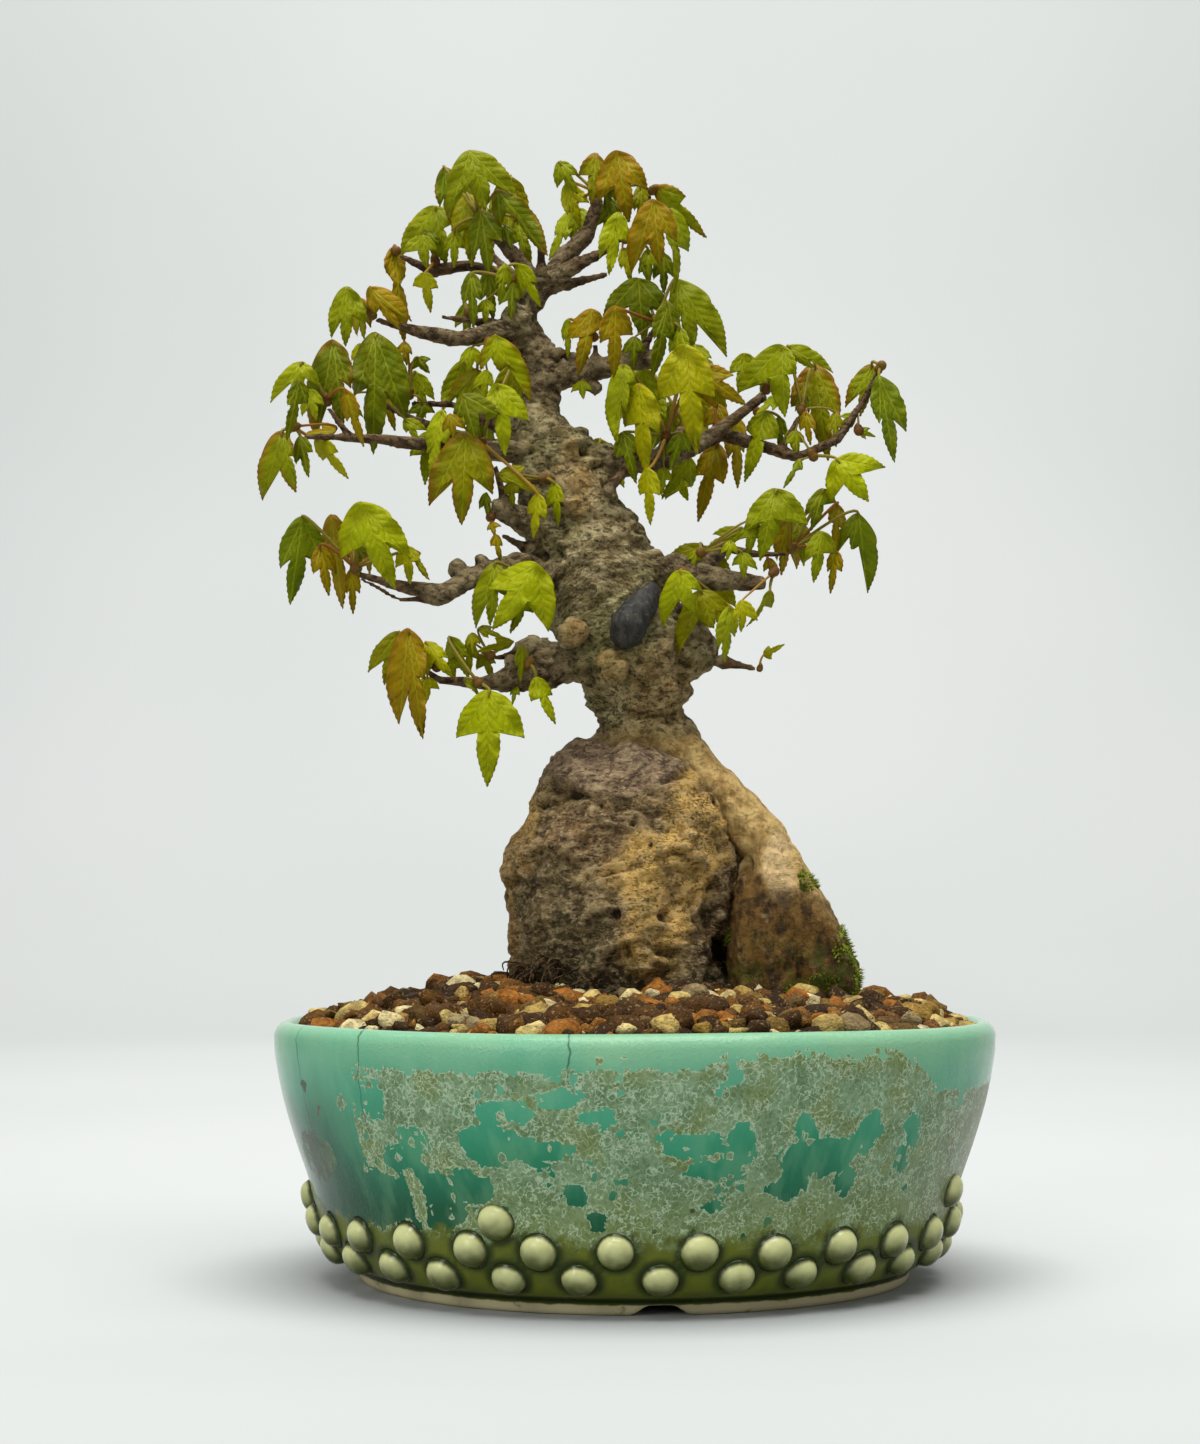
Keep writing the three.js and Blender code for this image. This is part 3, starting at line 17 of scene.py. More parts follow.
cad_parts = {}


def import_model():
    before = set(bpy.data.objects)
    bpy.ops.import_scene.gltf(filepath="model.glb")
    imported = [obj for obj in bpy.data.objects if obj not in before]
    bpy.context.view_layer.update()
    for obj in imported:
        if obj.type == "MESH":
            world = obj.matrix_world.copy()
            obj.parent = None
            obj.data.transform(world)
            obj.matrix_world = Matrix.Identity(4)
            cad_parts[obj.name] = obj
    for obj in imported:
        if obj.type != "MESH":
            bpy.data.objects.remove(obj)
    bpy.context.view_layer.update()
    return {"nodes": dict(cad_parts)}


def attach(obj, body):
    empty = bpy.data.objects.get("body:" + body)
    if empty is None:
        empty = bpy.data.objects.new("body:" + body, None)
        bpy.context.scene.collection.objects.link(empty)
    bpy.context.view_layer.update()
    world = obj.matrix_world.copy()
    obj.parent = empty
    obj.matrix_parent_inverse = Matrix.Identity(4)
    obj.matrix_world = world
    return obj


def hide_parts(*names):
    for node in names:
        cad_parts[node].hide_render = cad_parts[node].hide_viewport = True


LOG = logging.getLogger("maple")
MM = 0.001
VIEW_DISTANCE = 676.0
VIEW_HEIGHT = 93.5

Array = np.ndarray
Color = Tuple[float, float, float]
Face = Tuple[int, ...]
Draw = Callable[[], float]


def table(text: str) -> Array:
    """Numbers written as text with a comma after each row, as an array."""
    return np.array([row.split() for row in text.split(",")], float)


def srgb(*parts: float) -> Tuple[float, ...]:
    """A colour read on a 0 to 255 scale, as the linear value with an alpha of 1 that a shader takes."""
    shares = [c / 255.0 for c in parts]
    return (*(c / 12.92 if c <= 0.04045 else ((c + 0.055) / 1.055) ** 2.4 for c in shares), 1.0)


def seen_at(x: float, z: float, depth: float) -> Array:
    """The point in mm that shows from the front at x and z on the pot's axis, at a depth in mm behind it."""
    spread = (VIEW_DISTANCE + depth) / VIEW_DISTANCE
    return np.array((x * spread, depth, VIEW_HEIGHT + (z - VIEW_HEIGHT) * spread))


def seen_from_front(points: Array) -> Tuple[Array, Array]:
    """Where points show from the front: their sideways places and heights in mm."""
    spread = VIEW_DISTANCE / (VIEW_DISTANCE + points[:, 1])
    return points[:, 0] * spread, VIEW_HEIGHT + (points[:, 2] - VIEW_HEIGHT) * spread


def unit(vector: Array) -> Array:
    """The vector at a length of 1."""
    return vector / np.linalg.norm(vector)


def seeded_draw(seed: int) -> Draw:
    """A draw between 0 and 1 that gives the same row of numbers on every run.

    Args:
        seed: First state.

    Returns:
        A function that returns the next number.
    """
    state = seed

    def draw() -> float:
        """Moves on to the next number.

        Returns:
            The number.
        """
        nonlocal state
        state = (state * 48271) % 2147483647
        return state / 2147483647

    return draw


def linked(name: str, data: bpy.types.ID) -> Object:
    """A new object at the origin, linked to the scene.

    Args:
        name: Its name.
        data: Its mesh, lamp or lens.

    Returns:
        The object.
    """
    obj = bpy.data.objects.new(name, data)
    bpy.context.scene.collection.objects.link(obj)
    return obj


def mesh_object(name: str, points: Sequence, faces: Sequence) -> Object:
    """A smooth mesh object at the origin, from points in mm.

    Args:
        name: Object name.
        points: Points in mm.
        faces: Faces as rows of point numbers.

    Returns:
        The new object, linked to the scene.
    """
    mesh = bpy.data.meshes.new(name)
    mesh.from_pydata([tuple(float(c) * MM for c in p) for p in points], [], [tuple(f) for f in faces])
    mesh.validate()
    mesh.polygons.foreach_set("use_smooth", [True] * len(mesh.polygons))
    mesh.update()
    return linked(name, mesh)


def ring_faces(rows: int, count: int, first: int = 0, closed: bool = False) -> List[Face]:
    """Four-sided faces between rings of points.

    Args:
        rows: How many rings.
        count: Points in a ring.
        first: Number of the first point.
        closed: Whether the last ring joins the first.

    Returns:
        The faces.
    """
    faces = []
    for k in range(rows if closed else rows - 1):
        low, high = first + k * count, first + (k + 1) % rows * count
        for i in range(count):
            j = (i + 1) % count
            faces.append((low + i, low + j, high + j, high + i))
    return faces


def set_floats(obj: Object, name: str, values: Sequence[float]) -> None:
    """Stores one number per point of a mesh under a name."""
    obj.data.attributes.new(name, "FLOAT", "POINT").data.foreach_set("value", np.asarray(values, np.float32))


def rows_of(data: bpy.types.bpy_prop_collection, name: str) -> Array:
    """A vector that each row of some mesh data holds.

    Args:
        data: The rows.
        name: What the vector is called.

    Returns:
        The vectors, one row each.
    """
    flat = np.empty(len(data) * 3)
    data.foreach_get(name, flat)
    return flat.reshape(-1, 3)


def points_of(obj: Object) -> Array:
    """The points of a mesh object in mm, one row each."""
    return rows_of(obj.data.vertices, "co") / MM


def normals_of(obj: Object) -> Array:
    """The point normals of a mesh object, one row each."""
    return rows_of(obj.data.vertex_normals, "vector")


def move_points(obj: Object, points: Array) -> None:
    """Gives the points of a mesh object new places in mm."""
    obj.data.vertices.foreach_set("co", (points * MM).ravel())
    obj.data.update()


def surface_of(obj: Object) -> BVHTree:
    """A mesh object as a surface to measure to, in mm."""
    return BVHTree.FromPolygons([tuple(p) for p in points_of(obj)], [tuple(f.vertices) for f in obj.data.polygons])


def reworked(obj: Object, change: Callable[[BMesh], object]) -> Object:
    """Changes an object's mesh as loose geometry.

    Args:
        obj: Mesh object.
        change: What is done to the geometry.

    Returns:
        The same object.
    """
    form = bmesh.new()
    form.from_mesh(obj.data)
    change(form)
    form.to_mesh(obj.data)
    form.free()
    return obj


def without(obj: Object, chosen: Callable[[BMesh], List]) -> Object:
    """The object with the faces taken off that a rule picks from its geometry."""
    return reworked(obj, lambda form: bmesh.ops.delete(form, geom=chosen(form), context="FACES"))


def merged_copy(node: Object, name: str) -> Object:
    """A copy of a frame node with its loose triangles joined and no materials.

    Args:
        node: The node's object.
        name: Name of the copy.

    Returns:
        The copy.
    """
    obj = linked(name, node.data.copy())
    obj.data.materials.clear()
    return reworked(obj, lambda form: bmesh.ops.remove_doubles(form, verts=form.verts, dist=0.002 * MM))


def baked(obj: Object) -> Object:
    """Turns an object's modifiers into plain mesh and takes them off.

    Args:
        obj: Mesh object.

    Returns:
        The same object.
    """
    graph = bpy.context.evaluated_depsgraph_get()
    graph.update()
    mesh = bpy.data.meshes.new_from_object(obj.evaluated_get(graph))
    obj.modifiers.clear()
    obj.data = mesh
    return obj


def remeshed(obj: Object, voxel: float, rounds: int) -> Object:
    """Covers a faceted form with small even faces and eases its edges.

    Args:
        obj: Mesh object, a closed form.
        voxel: Side of the new faces in mm.
        rounds: Rounds of easing.

    Returns:
        The same object.
    """
    cover = obj.modifiers.new("cover", "REMESH")
    cover.mode, cover.voxel_size, cover.use_smooth_shade = "VOXEL", voxel * MM, True
    ease = obj.modifiers.new("ease", "SMOOTH")
    ease.factor, ease.iterations = 0.5, rounds
    return baked(obj)


def turbulence(points: Array, size: float, octaves: int, seed: float) -> Array:
    """Fractal noise at points in mm, about -1 to 1, whose largest lumps have a size in mm."""
    return np.array([noise.fractal(Vector(p), 0.9, 2.1, octaves) for p in points / size + seed])


def eased(obj: Object, values: Array, rounds: int) -> Array:
    """Values of a mesh's points averaged with their neighbours' a number of times.

    Args:
        obj: Mesh object.
        values: A number or a row of numbers for each point.
        rounds: How many times.

    Returns:
        The averaged values.
    """
    edges = np.empty(len(obj.data.edges) * 2, np.int64)
    obj.data.edges.foreach_get("vertices", edges)
    one, two = edges.reshape(-1, 2).T
    size = len(values)
    count = np.bincount(edges, minlength=size).clip(1)
    done = []
    for column in values.reshape(size, -1).T:
        for _ in range(rounds):
            total = np.bincount(one, column[two], size) + np.bincount(two, column[one], size)
            column = 0.5 * column + 0.5 * total / count
        done.append(column)
    return np.array(done).T.reshape(values.shape)


def tube(path: Array, radii: Sequence[float], sides: int, first: int = 0) -> Tuple[Array, List[Face]]:
    """A closed round tube along a path.

    Args:
        path: Its middle line in mm.
        radii: Its radius at each point of the path.
        sides: Sides of its section.
        first: Number of its first point.

    Returns:
        Its points and faces.
    """
    rows, side = [], np.array((0.31, 0.2, 0.93))
    for i, (spot, radius) in enumerate(zip(path, radii)):
        ahead = unit(path[min(i + 1, len(path) - 1)] - path[max(i - 1, 0)])
        side = unit(side - ahead * (side @ ahead))
        other = np.cross(ahead, side)
        for k in range(sides):
            turn = 2 * math.pi * k / sides
            rows.append(spot + radius * (math.cos(turn) * side + math.sin(turn) * other))
    ring = range(first, first + sides)
    last = (len(path) - 1) * sides
    return np.array(rows), ring_faces(len(path), sides, first) + [tuple(ring[::-1]), tuple(last + i for i in ring)]


def hollowness(obj: Object, rounds: int) -> Array:
    """How deep each point lies in a crease, in mm, and below 0 on a crest."""
    points = points_of(obj)
    return ((eased(obj, points, rounds) - points) * normals_of(obj)).sum(axis=1)


def smoothstep(low: float, high: float, value: Array) -> Array:
    """An even rise from 0 at low to 1 at high."""
    t = np.clip((value - low) / (high - low), 0.0, 1.0)
    return t * t * (3 - 2 * t)


def dress(obj: Object, material: Material) -> None:
    """Gives an object a material in place of those that it had."""
    obj.data.materials.clear()
    obj.data.materials.append(material)


def finish_piece(obj: Object, material: Material, slot: str, *replaces: str) -> Object:
    """Dresses a piece, lets it ride on the one body and reports it.

    Args:
        obj: The finished mesh object.
        material: Its finish.
        slot: Material slot of the record; not used.
        replaces: Frame nodes that the piece stands for.

    Returns:
        The same object.
    """
    dress(obj, material)
    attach(obj, "root")
    if replaces:
        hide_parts(*replaces)
    LOG.info("%s: %d triangles", obj.name, sum(len(p.vertices) - 2 for p in obj.data.polygons))
    return obj


class Value:
    """What comes out of a node, with sums on it written as usual."""

    def __init__(self, net: "Net", socket: NodeSocket) -> None:
        """Keeps the nodes that it belongs to and its socket."""
        self.net, self.socket = net, socket

    def also(self, part: str) -> "Value":
        """Another output of the same node."""
        return Value(self.net, self.socket.node.outputs[part])

    def __add__(self, other: object) -> "Value":
        """The sum."""
        return self.net.math("ADD", self, other)

    def __sub__(self, other: object) -> "Value":
        """The difference."""
        return self.net.math("SUBTRACT", self, other)

    def __rsub__(self, other: object) -> "Value":
        """What is left of a number."""
        return self.net.math("SUBTRACT", other, self)

    def __mul__(self, other: object) -> "Value":
        """The product, which for two masks is where both hold."""
        return self.net.math("MULTIPLY", self, other)

    def __truediv__(self, other: object) -> "Value":
        """The quotient."""
        return self.net.math("DIVIDE", self, other)

    def __pow__(self, other: object) -> "Value":
        """The power."""
        return self.net.math("POWER", self, other)

    def __or__(self, other: object) -> "Value":
        """The larger value, which for two masks is where either holds."""
        return self.net.math("MAXIMUM", self, other)

    def by(self, share: object, base: object) -> "Value":
        """The product with a share, added to a base."""
        return self.net.math("MULTIPLY_ADD", self, share, base)

    def shaken(self, noise_value: "Value", reach: float) -> "Value":
        """The value moved up and down by noise."""
        return (noise_value - 0.5).by(reach, self)

    def between(self, low: float, high: float, start: float = 0.0, end: float = 1.0) -> "Value":
        """A smooth change from start to end as the value goes from low to high."""
        ends = {"From_Min": low, "From_Max": high, "To_Min": start, "To_Max": end}
        return self.net.node("ShaderNodeMapRange", self, interpolation_type="SMOOTHSTEP", **ends)

    def blend(self, low: float, high: float, one: object, other: object) -> "Value":
        """A change from one colour to the other as the value goes from low to high."""
        return self.net.mix(self.between(low, high), one, other)

    def peak(self, middle: float, half: float) -> "Value":
        """1 where the value is at the middle, falling to 0 at half its width away."""
        return self.net.math("ABSOLUTE", self - middle).between(0.0, half, 1.0, 0.0)


class Net:
    """Nodes under construction, with one method for each kind that is used often."""

    def __init__(self, tree: NodeTree) -> None:
        """Takes the tree that the nodes go into."""
        self.tree = tree

    def put(self, socket: NodeSocket, value: object) -> None:
        """Links a socket to what comes out of a node, or sets it.

        Args:
            socket: The input.
            value: A node's value, a number or the like, three numbers from 0 to 255 for a colour, or
                nothing where the input stays as it is.
        """
        if isinstance(value, Value):
            self.tree.links.new(value.socket, socket)
        elif value is not None:
            socket.default_value = srgb(*value) if socket.type == "RGBA" and len(value) == 3 else value

    def node(self, kind: str, *values: object, out: object = 0, **named: object) -> Value:
        """A new node.

        Args:
            kind: Its kind.
            values: What goes into its inputs, in their order.
            out: Number or name of the output that is wanted.
            named: Its settings, and with a capital its inputs, by name.

        Returns:
            What comes out of it.
        """
        node = self.tree.nodes.new(kind)
        for name, value in named.items():
            if name[0].islower():
                setattr(node, name, value)
        for socket, value in zip(node.inputs, values):
            self.put(socket, value)
        for name, value in named.items():
            if name[0].isupper():
                self.put(node.inputs[name.replace("_", " ")], value)
        return Value(self, node.outputs[out])

    def math(self, operation: str, *values: object) -> Value:
        """One sum on numbers."""
        return self.node("ShaderNodeMath", *values, operation=operation)

    def vector(self, operation: str, *values: object, **named: object) -> Value:
        """One sum on vectors."""
        return self.node("ShaderNodeVectorMath", *values, operation=operation, **named)


class Graph(Net):
    """A material's nodes."""

    def __init__(self, name: str) -> None:
        """Starts a material with nothing in it.

        Args:
            name: Its name.
        """
        self.material = bpy.data.materials.new(name)
        self.material.use_nodes = True
        super().__init__(self.material.node_tree)
        self.tree.nodes.clear()
        self.place = self.node("ShaderNodeTexCoord", out="Object")

    def split(self, vector: Value) -> Tuple[Value, ...]:
        """The x, y and z of a vector, in mm where it is a place."""
        parts = self.node("ShaderNodeSeparateXYZ", self.vector("SCALE", vector, Scale=1 / MM))
        return tuple(parts.also(axis) for axis in "XYZ")

    def stretch(self, vector: Value, scale: Color) -> Value:
        """A place with its axes scaled, so that a pattern runs longer one way."""
        return self.node("ShaderNodeMapping", vector, Scale=scale)

    def noise(self, size: float, detail: float = 3, rough: float = 0.55, at: Optional[Value] = None) -> Value:
        """Soft noise, about 0.3 to 0.7, with lumps of a size in mm, at the point or at another place."""
        where = at or self.place
        return self.node("ShaderNodeTexNoise", where, Scale=1000 / size, Detail=detail, Roughness=rough)

    def warp(self, size: float, reach: float, at: Optional[Value] = None) -> Value:
        """A place pushed about by soft noise.

        Args:
            size: Size of the noise in mm.
            reach: How far it pushes, in mm.
            at: The place, where that isn't the point's own.

        Returns:
            The pushed place.
        """
        where = at or self.place
        pushes = self.node("ShaderNodeTexNoise", where, Scale=1000 / size, Detail=2, out="Color")
        centred = self.vector("SUBTRACT", pushes, (0.5, 0.5, 0.5))
        return self.vector("MULTIPLY_ADD", centred, (reach * MM,) * 3, where)

    def cells(self, size: float, feature: str = "F1", part: str = "Distance", at: Optional[Value] = None) -> Value:
        """Distances or places in cells of a size in mm round scattered points."""
        return self.node("ShaderNodeTexVoronoi", at or self.place, Scale=1000 / size, feature=feature, out=part)

    def stored(self, name: str, part: str = "Fac") -> Value:
        """A value that the mesh stores for each point."""
        return self.node("ShaderNodeAttribute", attribute_name=name, out=part)

    def patch(self, x: Value, z: Value, oval: Tuple[float, float, float, float]) -> Value:
        """1 inside an oval of the front view (middle, half width, half height), falling to 0 outside."""
        middle_x, middle_z, wide, high = oval
        return (((x - middle_x) / wide) ** 2.0 + ((z - middle_z) / high) ** 2.0).between(1.5, 0.55)

    def ramp(self, value: Value, stops: Sequence[Tuple[float, Color]]) -> Value:
        """A colour read along a row of colours.

        Args:
            value: Where it is read, 0 to 1.
            stops: Places from 0 to 1, each with its colour.

        Returns:
            The colour.
        """
        color = self.node("ShaderNodeValToRGB", value)
        elements = color.socket.node.color_ramp.elements
        while len(elements) < len(stops):
            elements.new(0.5)
        for element, (place, shade) in zip(elements, stops):
            element.position, element.color = place, srgb(*shade)
        return color

    def mix(self, share: object, one: object, other: object) -> Value:
        """Two colours mixed, with none of the other at a share of 0."""
        unused = (None,) * 5
        return self.node("ShaderNodeMix", share, *unused, one, other, out=2, data_type="RGBA", clamp_factor=True)

    def bump(self, height: Value, depth: float, under: Optional[Value] = None) -> Value:
        """A normal that shows a height from 0 to 1, of a depth in mm, as relief on a coarser one."""
        return self.node("ShaderNodeBump", Height=height, Distance=depth * MM, Normal=under)

    def surface(
        self, color: object, rough: object, relief: Optional[Value] = None,
        through: float = 0.0, glow: Optional[Value] = None, **still: float,
    ) -> Material:
        """Ends the material.

        Args:
            color: Base colour.
            rough: Roughness.
            relief: Normal.
            through: Share of the light that comes through a thin sheet.
            glow: Colour of the light that comes through.
            still: Values that are the same all over, by the names of the shader's inputs.

        Returns:
            The finished material.
        """
        named = {"Base_Color": color, "Roughness": rough, "Normal": relief, **still}
        ended = self.node("ShaderNodeBsdfPrincipled", **named)
        if through > 0:
            sheet = self.node("ShaderNodeBsdfTranslucent", glow, None, Normal=relief)
            ended = self.node("ShaderNodeMixShader", through, ended, sheet)
        last = self.tree.nodes.new("ShaderNodeOutputMaterial")
        self.put(last.inputs["Surface"], ended)
        return self.material


class GeometryTree(Net):
    """A Geometry Nodes group."""

    def __init__(self, name: str) -> None:
        """Starts a group that takes and gives a geometry.

        Args:
            name: Its name.
        """
        super().__init__(bpy.data.node_groups.new(name, "GeometryNodeTree"))
        for way in ("INPUT", "OUTPUT"):
            self.tree.interface.new_socket("Geometry", in_out=way, socket_type="NodeSocketGeometry")
        self.geometry = self.node("NodeGroupInput")
        self.values: Dict[str, float] = {}

    def given(self, name: str, value: float) -> Value:
        """A named input of the group, for a size, a share or a seed.

        Args:
            name: Its name.
            value: Its value, a whole number for a seed.

        Returns:
            The input's value.
        """
        kind = "NodeSocketInt" if isinstance(value, int) else "NodeSocketFloat"
        self.tree.interface.new_socket(name, in_out="INPUT", socket_type=kind).default_value = value
        self.values[name] = value
        return self.geometry.also(name)

    def random(self, low: object, high: object, seed: object) -> Value:
        """A random number or vector for each point.

        Args:
            low: The lowest, a number or three.
            high: The highest.
            seed: Its seed.

        Returns:
            The random value.
        """
        if isinstance(low, tuple):
            return self.node("FunctionNodeRandomValue", low, high, data_type="FLOAT_VECTOR", Seed=seed)
        return self.node("FunctionNodeRandomValue", None, None, low, high, Seed=seed, out=1)

    def strewn(self, gap: Value, density: float, seed: Value) -> Value:
        """Points strewn over the given surface, never closer than the gap in metres."""
        named = {"Distance_Min": gap, "Density_Max": density, "Seed": seed}
        return self.node("GeometryNodeDistributePointsOnFaces", self.geometry, distribute_method="POISSON", **named)

    def copies(self, points: Value, form: object, turned: Value, size: Value) -> Value:
        """A copy of a form on each point.

        Args:
            points: Where the copies stand.
            form: An object, or the geometry of a node.
            turned: Rotation of each copy.
            size: Scale of each copy.

        Returns:
            The copies, which aren't real mesh yet.
        """
        if isinstance(form, Object):
            form = self.node("GeometryNodeObjectInfo", form, transform_space="ORIGINAL", out="Geometry")
        return self.node("GeometryNodeInstanceOnPoints", points, Instance=form, Rotation=turned, Scale=size)

    def grow(self, obj: Object, mesh: Value, finish: Material) -> None:
        """Ends the group, runs it on an object and keeps the result as a plain mesh.

        Args:
            obj: The object that the group starts from.
            mesh: What the group has made.
            finish: Its material.
        """
        smooth = self.node("GeometryNodeSetShadeSmooth", self.node("GeometryNodeRealizeInstances", mesh))
        dressed = self.node("GeometryNodeSetMaterial", smooth, Material=finish)
        last = self.tree.nodes.new("NodeGroupOutput")
        self.put(last.inputs[0], dressed)
        work = obj.modifiers.new("nodes", "NODES")
        work.node_group = self.tree
        for item in self.tree.interface.items_tree:
            if item.in_out == "INPUT" and item.name in self.values:
                work[item.identifier] = self.values[item.name]
        baked(obj)


def round_pot(degrees: float, radius: float, height: float) -> Array:
    """A point in mm, with its degrees round the pot from 0 in front to 90 on the right."""
    turn = math.radians(degrees)
    return np.array((radius * math.sin(turn), -radius * math.cos(turn), height))


@dataclass(frozen=True)
class GlazeFinish:
    """A copper glaze, pale at the rim and deep below, under patches of small matt crystals, with painted shade toward
    the wall's left and right edges.
    """

    levels: Tuple[Tuple[float, Color], ...] = (
        (0.0, (20, 66, 40)), (0.34, (22, 82, 54)), (0.46, (30, 108, 78)), (0.6, (48, 134, 100)),
        (0.75, (70, 152, 120)), (0.86, (94, 160, 128)), (0.93, (112, 168, 134)), (1.0, (122, 168, 132)),
    )
    bloom: Color = (122, 150, 114)
    bloom_dark: Color = (88, 116, 78)
    bloom_olive: Color = (106, 118, 54)
    outline: Color = (176, 196, 166)
    olive: Color = (98, 106, 28)
    olive_dark: Color = (30, 42, 14)
    clay: Color = (196, 186, 146)
    crackle: Color = (34, 58, 44)
    cracks: str = "-63.5 0.05 21, -45.5 0.03 38, -9.5 0.02 55, 150 -0.1 30, 96 0.12 40"
    height: float = 64.0
    crystal: float = 1.35

    def crack(self, g: Graph, around: Value, z: Value, start: float, lean: float, low: float) -> Value:
        """A thin line from its degrees at the rim, drifting by a lean for each mm, to a low end."""
        drift = (self.height - z).by(lean, start).shaken(g.noise(14, 3), 5.0)
        return (around - drift).peak(0.0, 0.24) * z.between(low, low + 3)

    def build(self) -> Material:
        """Builds the finish.

        Returns:
            The material.
        """
        g = Graph("glaze")
        x, y, z = g.split(g.place)
        around = g.math("DEGREES", g.math("ARCTAN2", x, y * -1.0))
        streak = g.noise(7, 3, at=g.stretch(g.place, (1, 1, 0.3)))
        height = z.shaken(g.noise(26, 2), 20.0)
        ground = g.ramp(height / self.height, self.levels)
        ground = g.mix(streak.between(0.44, 0.64, 0.0, 0.2), ground, (132, 184, 142))
        # Painted shade: the wall darkens toward its left and right edges as seen, more so low down.
        sides = around.peak(-68, 36) | around.peak(70, 30) * 0.6
        ground = g.mix(sides * height.between(56, 34, 0.0, 0.85), ground, (8, 62, 44))

        spot = g.stretch(g.warp(1.8, 1.3), (1, 1, 0.8))
        lumps = g.noise(5, 4, 0.75, at=g.cells(self.crystal, part="Position", at=spot))
        amount = g.stored("bloom").shaken(lumps, 2.6)
        alive = amount.between(0.49, 0.51)
        rind = g.cells(self.crystal, "DISTANCE_TO_EDGE", at=spot).between(0.05, 0.2, 1.0, 0.0)
        rind = rind * amount.between(0.5, 0.72, 1.0, 0.14)
        coral = g.noise(1.7, 2.5, 0.5, at=g.warp(1.6, 0.8)).peak(0.5, 0.045)
        line = rind | coral * g.noise(6, 3).between(0.38, 0.52, 0.3, 1.0)
        blot = around.peak(-65, 20)
        line = line * (z.between(12, 20, 0.1, 1.0) * blot.between(0.8, 0.1, 0.15, 1.0))
        mottle = g.noise(8, 4, 0.62)
        bloom = mottle.blend(0.36, 0.6, self.bloom_dark, self.bloom)
        bloom = g.mix(g.noise(0.9, 2).between(0.42, 0.6, 0.0, 0.6), bloom, self.bloom_dark)
        mossy = height.between(52, 60) | height.between(34, 20) | g.noise(13, 2).between(0.5, 0.66)
        bloom = g.mix(mossy * 0.7, bloom, self.bloom_olive)
        bloom = g.mix(around.between(48, 66, 0.0, 0.6), bloom, (96, 90, 58))
        bloom = g.mix(blot * 0.9, bloom, (30, 50, 28))
        bloom = g.mix(line * 0.85, bloom, self.outline)
        color = g.mix(alive, ground, bloom)

        low = z.shaken(g.noise(7, 5, 0.7), 22.0).between(21, 16)
        olive = mottle.blend(0.34, 0.6, (84, 92, 34), self.olive)
        olive = g.mix(g.stored("halo").between(0.0, 1.0, 0.0, 0.9), olive, self.olive_dark)
        color = g.mix(low, color, olive)
        color = g.mix(z.peak(3.4, 1.5), color, self.olive_dark)

        first, *others = table(self.cracks).tolist()
        cracks = self.crack(g, around, z, *first)
        for row in others:
            cracks = cracks | self.crack(g, around, z, *row)
        color = g.mix(cracks * 0.75, color, self.crackle)
        specks = g.cells(9).between(0.075, 0.05) * g.noise(30, 1).between(0.5, 0.6)
        color = g.mix(specks * 0.8, color, (50, 50, 30))

        bare = z.shaken(streak, 1.4).between(2.7, 2.2)
        clay = g.mix(g.noise(6, 4, 0.7).between(0.56, 0.72, 0.0, 0.7), self.clay, (110, 86, 48))
        color = g.mix(bare, color, clay)

        rough = alive.by(0.24, 0.08) | bare * 0.7
        relief = g.bump(g.noise(34, 1), 0.5)
        relief = g.bump(line.by(0.5, 1.0), 0.06, relief)
        return g.surface(color, rough, relief, Specular_IOR_Level=0.15)


@dataclass(frozen=True)
class StudFinish:
    """The same glaze where it runs thin and pale over a stud and gathers olive under it, with a painted highlight on
    each stud's top and painted shade on its lower half.
    """

    # top is partly a painted highlight and below partly painted shade.
    top: Color = (214, 216, 152)
    below: Color = (62, 70, 14)
    edge: Color = (46, 56, 20)

    def build(self) -> Material:
        """Builds the finish.

        Returns:
            The material.
        """
        g = Graph("stud_glaze")
        # Pale top to olive lower half: partly the glaze's own run, partly painted highlight above and painted shade
        # below.
        drift = g.stored("sunk").shaken(g.noise(5, 2), 1.0)
        tone = drift.blend(-0.8, 0.8, self.top, self.below)
        rise = g.stored("rise").shaken(g.noise(3, 2), 0.25)
        color = rise.blend(0.05, 0.4, self.edge, tone)
        relief = g.bump(g.noise(3, 2), 0.08)
        return g.surface(color, 0.16, relief, Specular_IOR_Level=0.32)


